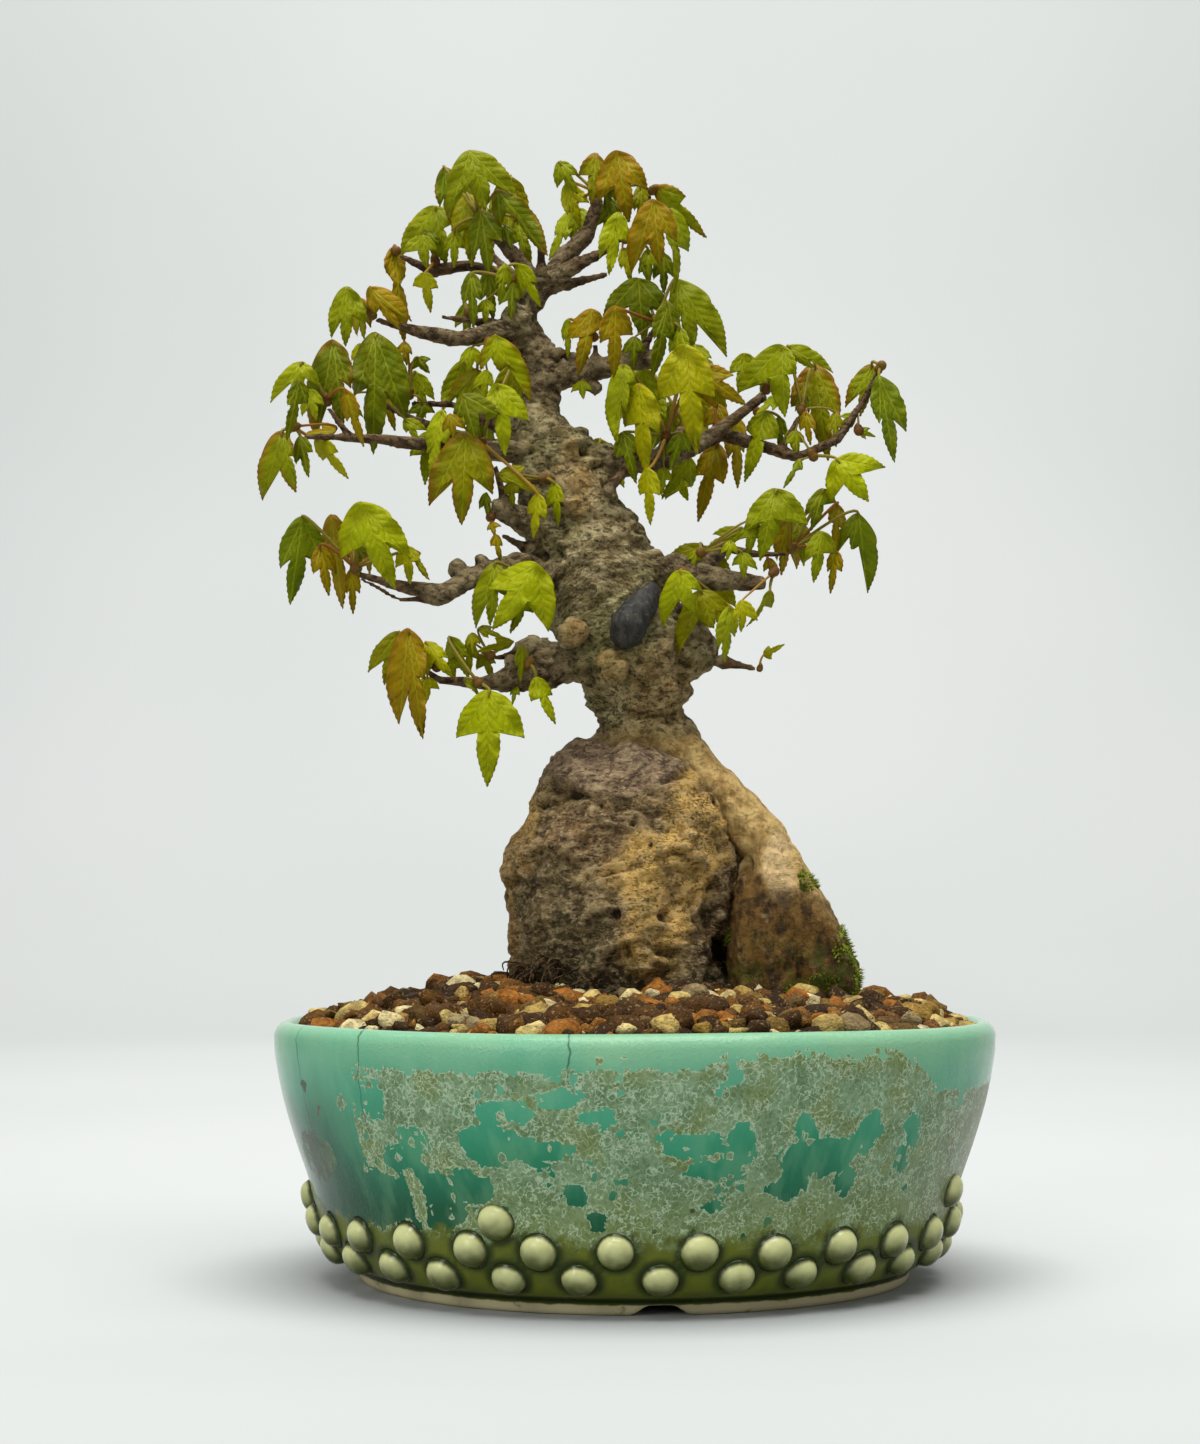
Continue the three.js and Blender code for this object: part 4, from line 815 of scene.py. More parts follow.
@dataclass
class Pot:
    """The round pot with its foot ring, drain notches, flared rim and rows of studs.

    Its tables hold radii and heights in mm, from below, or degrees and heights, with half sizes for
    the ovals that the glaze's crystals leave clear or fill.
    """

    wall: str = "69.6 3.8, 73 5.2, 78.5 13, 81.6 24.4, 85 34.3, 88 44.3, 90 54.2, 90.6 59"
    lip: str = "90.55 61.2, 89.9 62.8, 88.8 63.9, 87.6 64.4, 86.5 64.1, 85.9 63, 85.6 61.5"
    under: str = "9.5 4.6, 30 4.6, 56 4.6, 61.4 4.2, 62.4 2.8, 63.3 0.6, 63.8 0.05"
    foot: str = "65.5 0, 67.6 0, 68.5 0.25, 68.9 1.2, 69.2 2.5"
    inner: str = "58, 50, 42, 34, 26, 19, 14.5"
    floor: str = "69 10.6, 66 9.6, 40 9.4, 9.6 9.4, 9 8.8, 9 5.2"
    bloom_top: str = """
        -180 55, -112 56, -100 30, -62 19, -49 18, -46.5 56, -30 55.4, -10 56.6, 8 56.6, 15 59.6, 40 60,
        46 57, 52 50, 72 49, 90 54, 180 55
    """
    clear: str = """
        -43 49 3.6 5, -35 27 7.5 7.5, -46 25 5 6.5, -40 35.5 2.4 2.6, -36 39 3.5 4, -22 39.5 5 4.5,
        -26 30 4 4, -11.5 50.3 3.6 2, -19 47 4 2.5, -5.5 46 3 2, -14 38.5 4.5 3, -9 28.5 1.8 2.5,
        -6 22.5 1.6 2, 8 40 4.5 3, 15.5 38 2.4 6, 11 34 3.5 2, 29 36.5 6.5 4.6, 26 42 2 4.5,
        37.5 41 2.6 4.6, 24.5 29.5 3.4 3, 34.5 29.5 2.2 3, 46.5 38 2.4 6.5, 12.5 25.7 1.5 1.5,
        14.5 55.3 0.9 1.4, 92 36 9 9, 118 44 8 5, 140 30 10 8, 166 40 9 9, -165 33 8 7, -140 42 9 8,
        -118 30 9 8
    """
    filled: str = "-65 33 8 6, -43 40 4 3, -37 26 1.6 6, -58 45 1.6 1.4, -62 50 1.2 1.2, -50 47 1.2 2"
    stud_rows: str = "-2.45 15.3, 3.98 9"
    lone_studs: str = "-22.6 21.8, 69 24.1, -85 20.4, 131 22.5, 199 20.9"
    dome_rows: str = "1.2 -0.1, 1.06 0.04, 1 0.2, 0.93 0.42, 0.81 0.64, 0.62 0.82, 0.38 0.94"
    segments: int = 360
    thickness: float = 4.6
    foot_inner: float = 62.0
    notches: int = 3
    notch_first: float = 5.0
    notch_width: float = 14.3
    notch_height: float = 2.6
    stud_count: int = 28
    stud_sides: int = 20
    stud_radius: float = 4.1
    stud_height: float = 3.1
    stud_seed: int = 11
    clear_level: float = 0.22
    filled_level: float = 0.7

    def wall_radius(self, height: float) -> float:
        """Radius of the outer wall at a height, on a smooth line through its levels.

        Args:
            height: The height in mm.

        Returns:
            The radius in mm.
        """
        radii, levels = table(self.wall).T
        last = len(levels) - 1
        i = min(max(int(np.searchsorted(levels, height, "right")) - 1, 0), last - 1)
        rise = levels[i + 1] - levels[i]
        slopes = []
        for k in (i, i + 1):
            low, high = max(k - 1, 0), min(k + 1, last)
            slopes.append((radii[high] - radii[low]) / (levels[high] - levels[low]) * rise)
        t = min(max((height - levels[i]) / rise, 0.0), 1.0)
        along = (2 * t**3 - 3 * t**2 + 1) * radii[i] + (3 * t**2 - 2 * t**3) * radii[i + 1]
        return float(along + (t**3 - 2 * t**2 + t) * slopes[0] + (t**3 - t**2) * slopes[1])

    def profile(self) -> Array:
        """The wall's section, from the drain hole's lower edge round the outside to its upper edge.

        Returns:
            Radii and heights in mm, one row each.
        """
        heights = [3.8 + i * 0.85 for i in range(27)] + [26.8 + i * 1.7 for i in range(19)]
        outside = [(self.wall_radius(z), z) for z in heights]
        inside = [(self.wall_radius(z) - self.thickness, z) for z in table(self.inner)[:, 0]]
        parts = (table(self.under), table(self.foot), outside, table(self.lip), inside, table(self.floor))
        return np.concatenate(parts)

    def studs(self) -> Array:
        """Where the studs stand.

        Returns:
            Degrees and a height for each.
        """
        draw = seeded_draw(self.stud_seed)
        spots = []
        for first, height in table(self.stud_rows):
            for i in range(self.stud_count):
                turned = first + i * 360 / self.stud_count + 1.2 * (draw() - 0.5)
                spots.append((turned, height + 1.1 * (draw() - 0.5)))
        return np.concatenate((spots, table(self.lone_studs)))

    def bloom_at(self, degrees: Array, height: Array, points: Array) -> Array:
        """How thick the crystals lie, from their clear windows and their ragged top edge.

        Args:
            degrees: Degrees round the pot for each point.
            height: Its height in mm.
            points: The points in mm.

        Returns:
            The thickness at each point, 0 to 1.
        """
        edge = np.interp((degrees + 180) % 360 - 180, *table(self.bloom_top).T)
        amount = 0.27 + 0.57 * smoothstep(1.6, -1.6, height - edge) - 0.3 * smoothstep(-1.0, 3.0, height - edge)
        for spots, level, pick in (
            (self.clear, self.clear_level, np.minimum), (self.filled, self.filled_level, np.maximum),
        ):
            for middle, rise_at, half, rise in table(spots):
                away = np.abs((degrees - middle + 180) % 360 - 180)
                inside = smoothstep(1.35, 0.8, np.hypot(away / half, (height - rise_at) / rise))
                amount = np.where(inside > 0, pick(amount, amount + (level - amount) * inside), amount)
        return amount + 0.1 * turbulence(points, 9, 2, 3.0)

    def body(self) -> Object:
        """The thrown wall, foot and floor as one closed skin, with its stored values for the glaze.

        Returns:
            The object.
        """
        count = self.segments
        degrees = np.arange(count) * 360.0 / count
        turn = np.radians(degrees)
        wobble = 0.25 * np.sin(2 * turn + 0.6) + 0.14 * np.sin(3 * turn + 2.1) + 0.08 * np.sin(7 * turn)
        rim_wave = 0.22 * np.sin(2 * turn + 1.3) + 0.12 * np.sin(5 * turn)
        pitch = 360 / self.notches
        away = np.abs((degrees - self.notch_first + pitch / 2) % pitch - pitch / 2) * math.radians(1) * 66.0
        arch = self.notch_height * smoothstep(self.notch_width / 2, self.notch_width * 0.16, away)
        rings = []
        for radius, height in self.profile():
            out = radius + wobble * smoothstep(6.0, 30.0, height)
            up = height + rim_wave * smoothstep(30.0, 64.0, height)
            if radius > self.foot_inner - 1 and height < 4.3:
                up = np.maximum(up, arch * (1 - 0.25 * smoothstep(0.0, 4.3, height)))
            rings.append(np.stack((out * np.sin(turn), -out * np.cos(turn), up), axis=1))
        points = np.concatenate(rings)
        obj = mesh_object("glazed_pot", points, ring_faces(len(rings), count, closed=True))
        angle = np.degrees(np.arctan2(points[:, 0], -points[:, 1]))
        outer = np.hypot(points[:, 0], points[:, 1]) > self.foot_inner
        set_floats(obj, "bloom", np.where(outer, self.bloom_at(angle, points[:, 2], points), 0.1))
        near = np.full(len(points), 99.0)
        for spot, height in self.studs():
            near = np.minimum(near, np.linalg.norm(points - round_pot(spot, self.wall_radius(height), height), axis=1))
        set_floats(obj, "halo", smoothstep(7.2, 4.4, near))
        return obj

    def dome(self) -> Object:
        """One stud with a skirt that runs out into the wall, its top along +Z.

        Returns:
            The object.
        """
        rows, sides = table(self.dome_rows), self.stud_sides
        turns = [2 * math.pi * i / sides for i in range(sides)]
        points = [(out * math.cos(turn), out * math.sin(turn), up) for out, up in rows for turn in turns]
        points = np.array(points + [(0, 0, 1), (0, 0, -0.25)]) * (self.stud_radius, self.stud_radius, self.stud_height)
        top = len(points) - 2
        faces = ring_faces(len(rows), sides)
        for i in range(sides):
            j = (i + 1) % sides
            faces += [(top - sides + i, top - sides + j, top), (j, i, top + 1)]
        obj = mesh_object("stud_form", points, faces)
        set_floats(obj, "rise", points[:, 2].clip(0) / self.stud_height)
        return obj

    def studs_piece(self, finish: Material) -> Object:
        """All the studs as one piece, set along the wall's normals by Geometry Nodes.

        Args:
            finish: Their material.

        Returns:
            The object.
        """
        places, outward = [], []
        for degrees, height in self.studs():
            lean = (self.wall_radius(height + 1) - self.wall_radius(height - 1)) / 2
            way = unit(round_pot(degrees, 1.0, -lean))
            places.append(round_pot(degrees, self.wall_radius(height), height) - 0.1 * way)
            outward.append(way)
        obj, form = mesh_object("pot_studs", places, []), self.dome()
        vectors = obj.data.attributes.new("out", "FLOAT_VECTOR", "POINT")
        vectors.data.foreach_set("vector", np.array(outward, np.float32).ravel())
        t = GeometryTree("stud_rows")
        spread, seed = t.given("Size spread", 0.08), t.given("Seed", 5)
        out = t.node("GeometryNodeInputNamedAttribute", "out", data_type="FLOAT_VECTOR")
        turned = t.node("FunctionNodeAlignEulerToVector", Vector=out, axis="Z")
        size = t.random(0.0, 1.0, seed).by(spread, 0.96)
        t.grow(obj, t.copies(t.geometry, form, turned, size), finish)
        bpy.data.objects.remove(form)
        points, places = points_of(obj), np.array(places)
        nearest = np.array([np.argmin(((places - p) ** 2).sum(axis=1)) for p in points])
        # How far below its stud's middle each point lies, which the stud finish turns into painted shade.
        set_floats(obj, "sunk", (places[nearest, 2] - points[:, 2]) / self.stud_radius)
        return obj

    def build(self) -> None:
        """Builds and dresses the pot."""
        finish_piece(self.body(), GlazeFinish().build(), "glaze", "pot")
        finish = StudFinish().build()
        finish_piece(self.studs_piece(finish), finish, "glaze")


@dataclass(frozen=True)
class GrainFinish:
    """Fired clay, pumice and lava grains, each with its own colour."""

    def build(self) -> Material:
        """Builds the finish.

        Returns:
            The material.
        """
        g = Graph("bed_grains")
        stops = (
            (0.0, (36, 22, 6)), (0.22, (62, 39, 11)), (0.42, (88, 57, 17)), (0.52, (122, 80, 25)),
            (0.61, (166, 102, 30)), (0.68, (64, 42, 12)), (0.77, (160, 126, 52)), (0.87, (208, 184, 112)),
            (0.95, (228, 212, 158)), (1.0, (98, 72, 36)),
        )
        color = g.ramp(g.stored("tone"), stops)
        blotch = g.noise(2.6, 4, 0.65)
        color = g.mix(blotch.between(0.34, 0.66, 0.0, 0.55), color, (44, 28, 14))
        color = g.mix(g.noise(0.9, 2).between(0.57, 0.7, 0.0, 0.35), color, (188, 156, 98))
        pits = g.cells(0.8).between(0.1, 0.5)
        relief = g.bump(g.noise(2.2, 5, 0.7), 1.1)
        relief = g.bump(pits, 0.2, relief)
        return g.surface(color, 0.82, relief, Specular_IOR_Level=0.15)


@dataclass(frozen=True)
class BedFinish:
    """The fines that show between the grains, dark in their own colour and darker still as painted shade between the
    grains.
    """

    def build(self) -> Material:
        """Builds the finish.

        Returns:
            The material.
        """
        g = Graph("bed_fines")
        # Partly the fines' own colour, partly painted shade between the grains.
        color = g.noise(3, 4, 0.7).blend(0.35, 0.65, (14, 9, 4), (44, 29, 14))
        return g.surface(color, 0.9, g.bump(g.noise(1.5, 4, 0.7), 0.8), Specular_IOR_Level=0.2)


@dataclass
class Bed:
    """The bed of coarse grains on the pot's soil."""

    gap: float = 3.0
    smallest: float = 1.9
    largest: float = 4.9
    rim: float = 82.6
    underside: float = 50.0
    density: float = 400000.0
    seed: int = 4

    def strew(self, ground: Object, finish: Material) -> None:
        """Strews the grains by Geometry Nodes and gives each its own form.

        Args:
            ground: The upper side of the bed, which turns into the grains.
            finish: Their material.
        """
        t = GeometryTree("grain_bed")
        gap, rim = t.given("Gap", self.gap * MM), t.given("Rim radius", self.rim * MM)
        low, high = t.given("Smallest", self.smallest * MM), t.given("Largest", self.largest * MM)
        seed = t.given("Seed", self.seed)
        spot = t.node("ShaderNodeSeparateXYZ", t.node("GeometryNodeInputPosition"))
        beyond = t.math("GREATER_THAN", t.math("SQRT", spot**2.0 + spot.also("Y") ** 2.0), rim)
        kept = t.node("GeometryNodeDeleteGeometry", t.strewn(gap, self.density, seed), beyond, domain="POINT")
        lift = t.random((0.0, 0.0, -0.0018), (0.0, 0.0, 0.0012), seed)
        kept = t.node("GeometryNodeSetPosition", kept, Offset=lift)
        tone = {"Name": "tone", "Value": t.random(0.0, 1.0, seed + 1.0), "data_type": "FLOAT", "domain": "POINT"}
        kept = t.node("GeometryNodeStoreNamedAttribute", kept, **tone)
        size = (t.random(0.0, 1.0, seed + 2.0) ** 1.9).by(high - low, low)
        squat = t.random((0.85, 0.75, 0.62), (1.2, 1.05, 0.9), seed + 3.0)
        turned = t.random((-0.5, -0.5, 0.0), (0.5, 0.5, 6.28), seed + 4.0)
        ball = t.node("GeometryNodeMeshIcoSphere", 1.0, 2)
        grains = t.copies(kept, ball, turned, t.vector("SCALE", squat, Scale=size))
        grains = t.node("GeometryNodeRealizeInstances", grains)
        rough = t.node("ShaderNodeTexNoise", Scale=260.0, Detail=2.0, out="Color")
        chips = t.vector("SCALE", t.vector("SUBTRACT", rough, (0.5, 0.5, 0.5)), Scale=0.0052)
        t.grow(ground, t.node("GeometryNodeSetPosition", grains, Offset=chips), finish)

    def build(self, soil: Object) -> None:
        """Strews the grains and dresses the fines below them, whose dark colour is partly painted shade between the
        grains.

        Args:
            soil: The frame's soil.
        """
        low = self.underside * MM
        top = merged_copy(soil, "bed_grains")
        without(top, lambda form: [f for f in form.faces if f.normal.z < 0.25 or f.calc_center_median().z < low])
        finish = GrainFinish().build()
        self.strew(top, finish)
        finish_piece(top, finish, "soil_grains")
        dress(soil, BedFinish().build())


@dataclass(frozen=True)
class StoneFinish:
    """Weathered stone: purple-grey above, tan on the ridge, dark where it stays damp and darker towards its foot, with
    painted shade on its lower left and in its creases and painted highlights on its crests.
    """

    grey: Color = (174, 144, 92)
    plate: Color = (182, 152, 118)
    purple: Color = (124, 100, 80)
    tan: Color = (236, 190, 102)
    # dark is the colour of the painted shade on the stone's lower left.
    dark: Color = (62, 54, 34)
    damp: Color = (64, 42, 12)
    green: Color = (74, 80, 34)

    def build(self) -> Material:
        """Builds the finish.

        Returns:
            The material.
        """
        g = Graph("weathered_stone")
        x, _, z = g.split(g.warp(5, 3, g.warp(22, 9)))
        grain = g.noise(7, 7, 0.7)
        fleck = g.noise(1.6, 4, 0.7, at=g.stretch(g.place, (1, 1, 1.6)))
        color = grain.blend(0.4, 0.6, (116, 92, 56), self.grey)
        top = g.patch(x, z, (-4, 129, 18, 9))
        color = g.mix(top, color, grain.blend(0.42, 0.58, self.purple, self.plate))
        ridge = g.patch(x, z, (6, 83, 9, 14))
        for oval in ((9, 102, 16, 10), (18, 117, 9, 10), (-29, 118, 4, 9)):
            ridge = ridge | g.patch(x, z, oval)
        color = g.mix(ridge, color, grain.blend(0.36, 0.55, (170, 134, 72), self.tan))
        color = g.mix(g.patch(x, z, (-32, 98, 5, 26)) * 0.8, color, (176, 138, 78))
        umber = g.patch(x, z, (-13, 110, 11, 8)) * 0.7
        color = g.mix(umber, color, grain.blend(0.42, 0.58, (94, 68, 42), (156, 120, 80)))
        # Painted shade over the lower left of the stone.
        shade = g.patch(x, z, (-15, 82, 13, 14)) | g.patch(x, z, (-22, 95, 7, 10))
        color = g.mix(shade * 0.7, color, grain.blend(0.42, 0.6, self.dark, (112, 100, 66)))
        color = g.mix(z.between(84, 71, 0.0, 0.95), color, (44, 35, 19))
        damp = g.patch(x, z, (27, 82, 14, 17)) | g.patch(x, z, (24, 96, 6, 8))
        color = g.mix(damp * 0.92, color, grain.blend(0.4, 0.6, self.damp, (98, 68, 26)))
        algae = g.noise(9, 4).between(0.48, 0.62) * z.between(110, 86)
        color = g.mix(algae * 0.45, color, self.green)
        vein = g.noise(9, 5, 0.65, at=g.stretch(g.warp(6, 3), (0.6, 0.6, 1.5))).peak(0.5, 0.014)
        crack = vein * g.noise(15, 2).between(0.46, 0.58)
        color = g.mix(crack * 0.8, color, (36, 24, 14))
        flake = g.noise(3.2, 3, 0.6, at=g.stretch(g.warp(4, 2), (0.7, 0.7, 1.8)))
        split = flake.peak(0.47, 0.022) * g.noise(8, 2).between(0.44, 0.56, 0.1, 0.8)
        color = g.mix(split, color, (48, 34, 20))
        color = g.mix(flake.between(0.5, 0.56, 0.0, 0.22), color, (226, 200, 150))
        color = g.mix(fleck.between(0.47, 0.38, 0.0, 0.55), color, (50, 36, 19))
        color = g.mix(fleck.between(0.52, 0.64, 0.0, 0.5), color, (222, 198, 146))
        # Painted shade in the stone's creases and painted highlight on its crests.
        color = g.mix(g.stored("hollow").between(0.15, 0.9, 0.0, 0.85), color, (40, 28, 15))
        color = g.mix(g.stored("hollow").between(-0.15, -0.8, 0.0, 0.4), color, (206, 182, 132))
        relief = g.bump(g.noise(7, 7, 0.76), 3.6)
        relief = g.bump(fleck, 2.2, relief)
        relief = g.bump(1.0 - (crack | split), 0.9, relief)
        rough = 0.86 - damp * 0.25
        return g.surface(color, rough, relief, Specular_IOR_Level=0.2)


@dataclass(frozen=True)
class BarkFinish:
    """Maple bark: wrinkled and lichened on the trunk, smooth and tan on the roots, brown on the twigs, with painted
    shade in its creases and painted highlights on its crests.
    """

    old: Color = (138, 120, 78)
    pale: Color = (192, 174, 128)
    shade: Color = (92, 76, 46)
    lichen: Color = (138, 138, 84)
    # The dark of cracks and pits in the bark, also used as painted shade in its creases.
    crevice_and_shade: Color = (26, 18, 8)
    root: Color = (196, 166, 106)
    damp: Color = (98, 68, 24)
    limb: Color = (142, 124, 88)
    twig: Color = (112, 80, 48)

    def build(self) -> Material:
        """Builds the finish.

        Returns:
            The material.
        """
        g = Graph("maple_bark")
        x, _, z = g.split(g.place)
        lx, _, lz = g.split(g.warp(10, 7))
        coarse = g.noise(5.5, 6, 0.68, at=g.stretch(g.warp(7, 4), (0.8, 0.8, 1.5)))
        fine = g.noise(1.7, 5, 0.72, at=g.stretch(g.warp(3, 1.5), (0.75, 0.75, 1.3)))
        color = g.ramp(coarse, ((0.36, self.shade), (0.46, self.old), (0.6, self.pale)))
        moist = g.noise(14, 3).between(0.46, 0.58) * lz.between(225, 205)
        moist = moist * 0.35 | g.patch(lx, lz, (-4, 160, 10, 11)) * 0.6
        color = g.mix(moist, color, coarse.blend(0.4, 0.6, (98, 96, 52), self.lichen))
        warm = g.patch(lx, lz, (6, 147, 8, 11)) | g.patch(lx, lz, (-14, 200, 7, 8))
        color = g.mix(warm * 0.6, color, coarse.blend(0.4, 0.56, (138, 110, 64), (204, 174, 118)))
        thick = g.stored("thick")
        limb = coarse.blend(0.4, 0.6, (96, 78, 50), self.limb)
        color = thick.blend(14, 8, color, fine.blend(0.55, 0.66, limb, (168, 150, 116)))
        color = thick.blend(4.0, 2.2, color, fine.blend(0.42, 0.6, (62, 42, 24), self.twig))
        wrinkled = g.noise(9, 5, 0.62)
        away = g.math("SQRT", (x + 7.0) ** 2.0 + (z - 158.0) ** 2.0)
        rings = g.math("SINE", away.by(5.2, wrinkled * 34.0))
        belt = g.patch(x, z, (-7, 174, 17, 12))
        swirl = rings.between(-0.1, 0.95) * belt * fine.between(0.42, 0.56)
        color = g.mix(swirl * 0.5, color, self.crevice_and_shade)
        pits = fine.between(0.46, 0.38)
        color = g.mix(pits * thick.between(2, 6, 0.2, 0.6), color, self.crevice_and_shade)
        crust = g.noise(5, 4, 0.6, at=g.warp(3, 2)).peak(0.5, 0.02)
        color = g.mix(crust * thick.between(5, 10, 0.0, 0.5), color, self.crevice_and_shade)

        below = lz.between(139, 132) * thick.between(3, 6)
        grain = g.noise(3, 6, 0.68, at=g.stretch(g.place, (1, 1, 0.5)))
        root = grain.blend(0.36, 0.6, (156, 124, 70), self.root)
        root = g.mix(g.patch(lx, lz, (36, 102, 4, 10)) * 0.55, root, (216, 188, 142))
        root = g.mix(g.noise(1.1, 2).between(0.46, 0.36, 0.0, 0.3), root, (104, 76, 36))
        color = g.mix(below, color, root)
        wet = g.patch(lx, lz, (34, 76, 26, 20)) | g.patch(lx, lz, (27, 94, 7, 10))
        wet = (wet | lz.between(90, 82)) * z.between(140, 130)
        color = g.mix(wet * 0.94, color, grain.blend(0.38, 0.6, (40, 26, 8), self.damp))
        green = g.noise(5, 3).between(0.42, 0.56)
        mossy = lz.between(88, 74) * 0.5 | g.stored("moss").between(0.2, 0.7)
        color = g.mix(mossy * green, color, (70, 82, 20))
        hollow = g.stored("hollow")
        # Painted shade in the bark's creases and painted highlight on its crests.
        color = g.mix(hollow.between(0.12, 0.75, 0.0, 0.92), color, self.crevice_and_shade)
        color = g.mix(hollow.between(-0.12, -0.6, 0.0, 0.4), color, (196, 178, 134))
        callus = g.stored("callus") * coarse.between(0.4, 0.56, 0.3, 1.0)
        color = g.mix(callus * 0.6, color, (176, 138, 74))
        strength = z.between(132, 146, 0.3, 1.0)
        relief = g.bump(coarse * strength, 3.0)
        relief = g.bump(fine * strength, 1.4, relief)
        relief = g.bump(1.0 - (swirl + pits) * strength, 0.35, relief)
        relief = g.bump(grain, 0.8, relief)
        return g.surface(color, 0.85, relief, Specular_IOR_Level=0.18)


@dataclass(frozen=True)
class PuttyFinish:
    """Dark grey cut paste, dried matt with brush marks."""

    def build(self) -> Material:
        """Builds the finish.

        Returns:
            The material.
        """
        g = Graph("cut_paste")
        streak = g.noise(2, 4, 0.65, at=g.stretch(g.warp(3, 1.2), (1.0, 1.0, 0.45)))
        color = streak.blend(0.4, 0.64, (30, 29, 28), (56, 53, 46))
        color = g.mix(g.noise(1.1, 2).between(0.6, 0.72, 0.0, 0.5), color, (104, 96, 76))
        return g.surface(color, 0.7, g.bump(streak, 0.4), Specular_IOR_Level=0.25)


@dataclass(frozen=True)
class MossFinish:
    """Cushion moss: painted shade between its shoots and bright at their tips."""

    def build(self) -> Material:
        """Builds the finish.

        Returns:
            The material.
        """
        g = Graph("cushion_moss")
        tone = g.noise(9, 3).between(0.4, 0.6)
        tips = g.mix(tone, (92, 104, 18), (146, 156, 44))
        # Dark at the shoots' feet as painted shade between them.
        color = g.stored("tip").blend(0.1, 0.9, g.mix(tone, (34, 34, 8), (58, 60, 16)), tips)
        return g.surface(color, 0.8, None, Specular_IOR_Level=0.15)


@dataclass
class Stone:
    """The stone that the roots clasp.

    Its creases are a start and an end as seen from the front, a width and a depth, in mm.
    """

    voxel: float = 0.85
    chips: int = 120
    seed: int = 17
    creases: str = """
        -24 118 -16 121 1.3 1.7, -16 121 -8 118.6 1.2 1.6, -8 118.6 6 116 1.1 1.3, 7 124 14 127 1 1.2,
        -21 117 -14 116 1 1, -7 115 0 113.4 0.7 0.9, 0 113.4 4.5 108 0.9 1.2, 4.5 108 5.5 104 0.8 1,
        4 114 15 109 0.9 0.9, -18 105 -12 100 1.1 1.2, -12 100 5 103.5 0.8 1, -14 103 -6 104.6 0.7 0.8,
        20 121 25 113 0.9 1, 25 113 27 106 1 1.2, 1 83 10 80.5 0.9 1.1, -1 73 6 71.5 0.8 0.8,
        -4 99 -5 90 1.2 0.8, -5 90 -1 80 1.2 0.9, -1 80 -1 70 1.2 0.9, 20 99 18 90 1.6 1.6,
        18 90 22 81 1.6 1.8, 22 81 20 72 1.6 1.8, -23 112 -26 100 1 0.9
    """

    def chip(self, points: Array, out: Array) -> Array:
        """Strikes flat flakes off, as a stone breaks.

        Args:
            points: The stone's points in mm.
            out: Their normals.

        Returns:
            The points in their new places.
        """
        draw = seeded_draw(self.seed)
        for _ in range(self.chips):
            i = int(draw() * len(points))
            way = unit(out[i] + 0.8 * (np.array((draw(), draw(), draw())) - 0.5))
            reach = 5 + 11 * draw()
            away = np.linalg.norm(points - points[i], axis=1)
            over = np.clip((points - points[i]) @ way + 0.2 + 0.8 * draw(), 0.0, 2.0)
            points = points - way * (over * smoothstep(reach, 0.8 * reach, away))[:, None]
        return points

    def build(self, node: Object) -> Object:
        """Covers the frame's rock with broken relief and dresses it.

        Args:
            node: The frame's rock.

        Returns:
            The finished stone.
        """
        obj = remeshed(merged_copy(node, "clasped_stone"), self.voxel, 4)
        points, out = points_of(obj), normals_of(obj)
        points += out * (0.8 + 1.0 * turbulence(points, 17, 2, 2.0))[:, None]
        move_points(obj, self.chip(points, out))
        points, out = points_of(obj), normals_of(obj)
        seen = np.stack(seen_from_front(points), axis=1)
        seen += np.stack((turbulence(points, 6, 2, 1.0), turbulence(points, 6, 2, 8.0)), axis=1)
        folds = np.abs(turbulence(points * (1, 1, 1.7), 10, 3, 7.0))
        relief = 1.5 * folds - 0.3 + 0.35 * turbulence(points * (0.8, 0.8, 1.5), 3, 3, 4.0)
        for x, z, far_x, far_z, width, depth in table(self.creases):
            start, way = np.array((x, z)), np.array((far_x - x, far_z - z))
            along = np.clip((seen - start) @ way / (way @ way), 0, 1)
            away = np.linalg.norm(seen - start - along[:, None] * way, axis=1)
            relief -= depth * np.exp(-((away / width) ** 2)) * smoothstep(0.1, -0.3, out[:, 1])
        move_points(obj, points + out * relief[:, None])
        set_floats(obj, "hollow", hollowness(obj, 10))
        return finish_piece(obj, StoneFinish().build(), "rock", "rock")


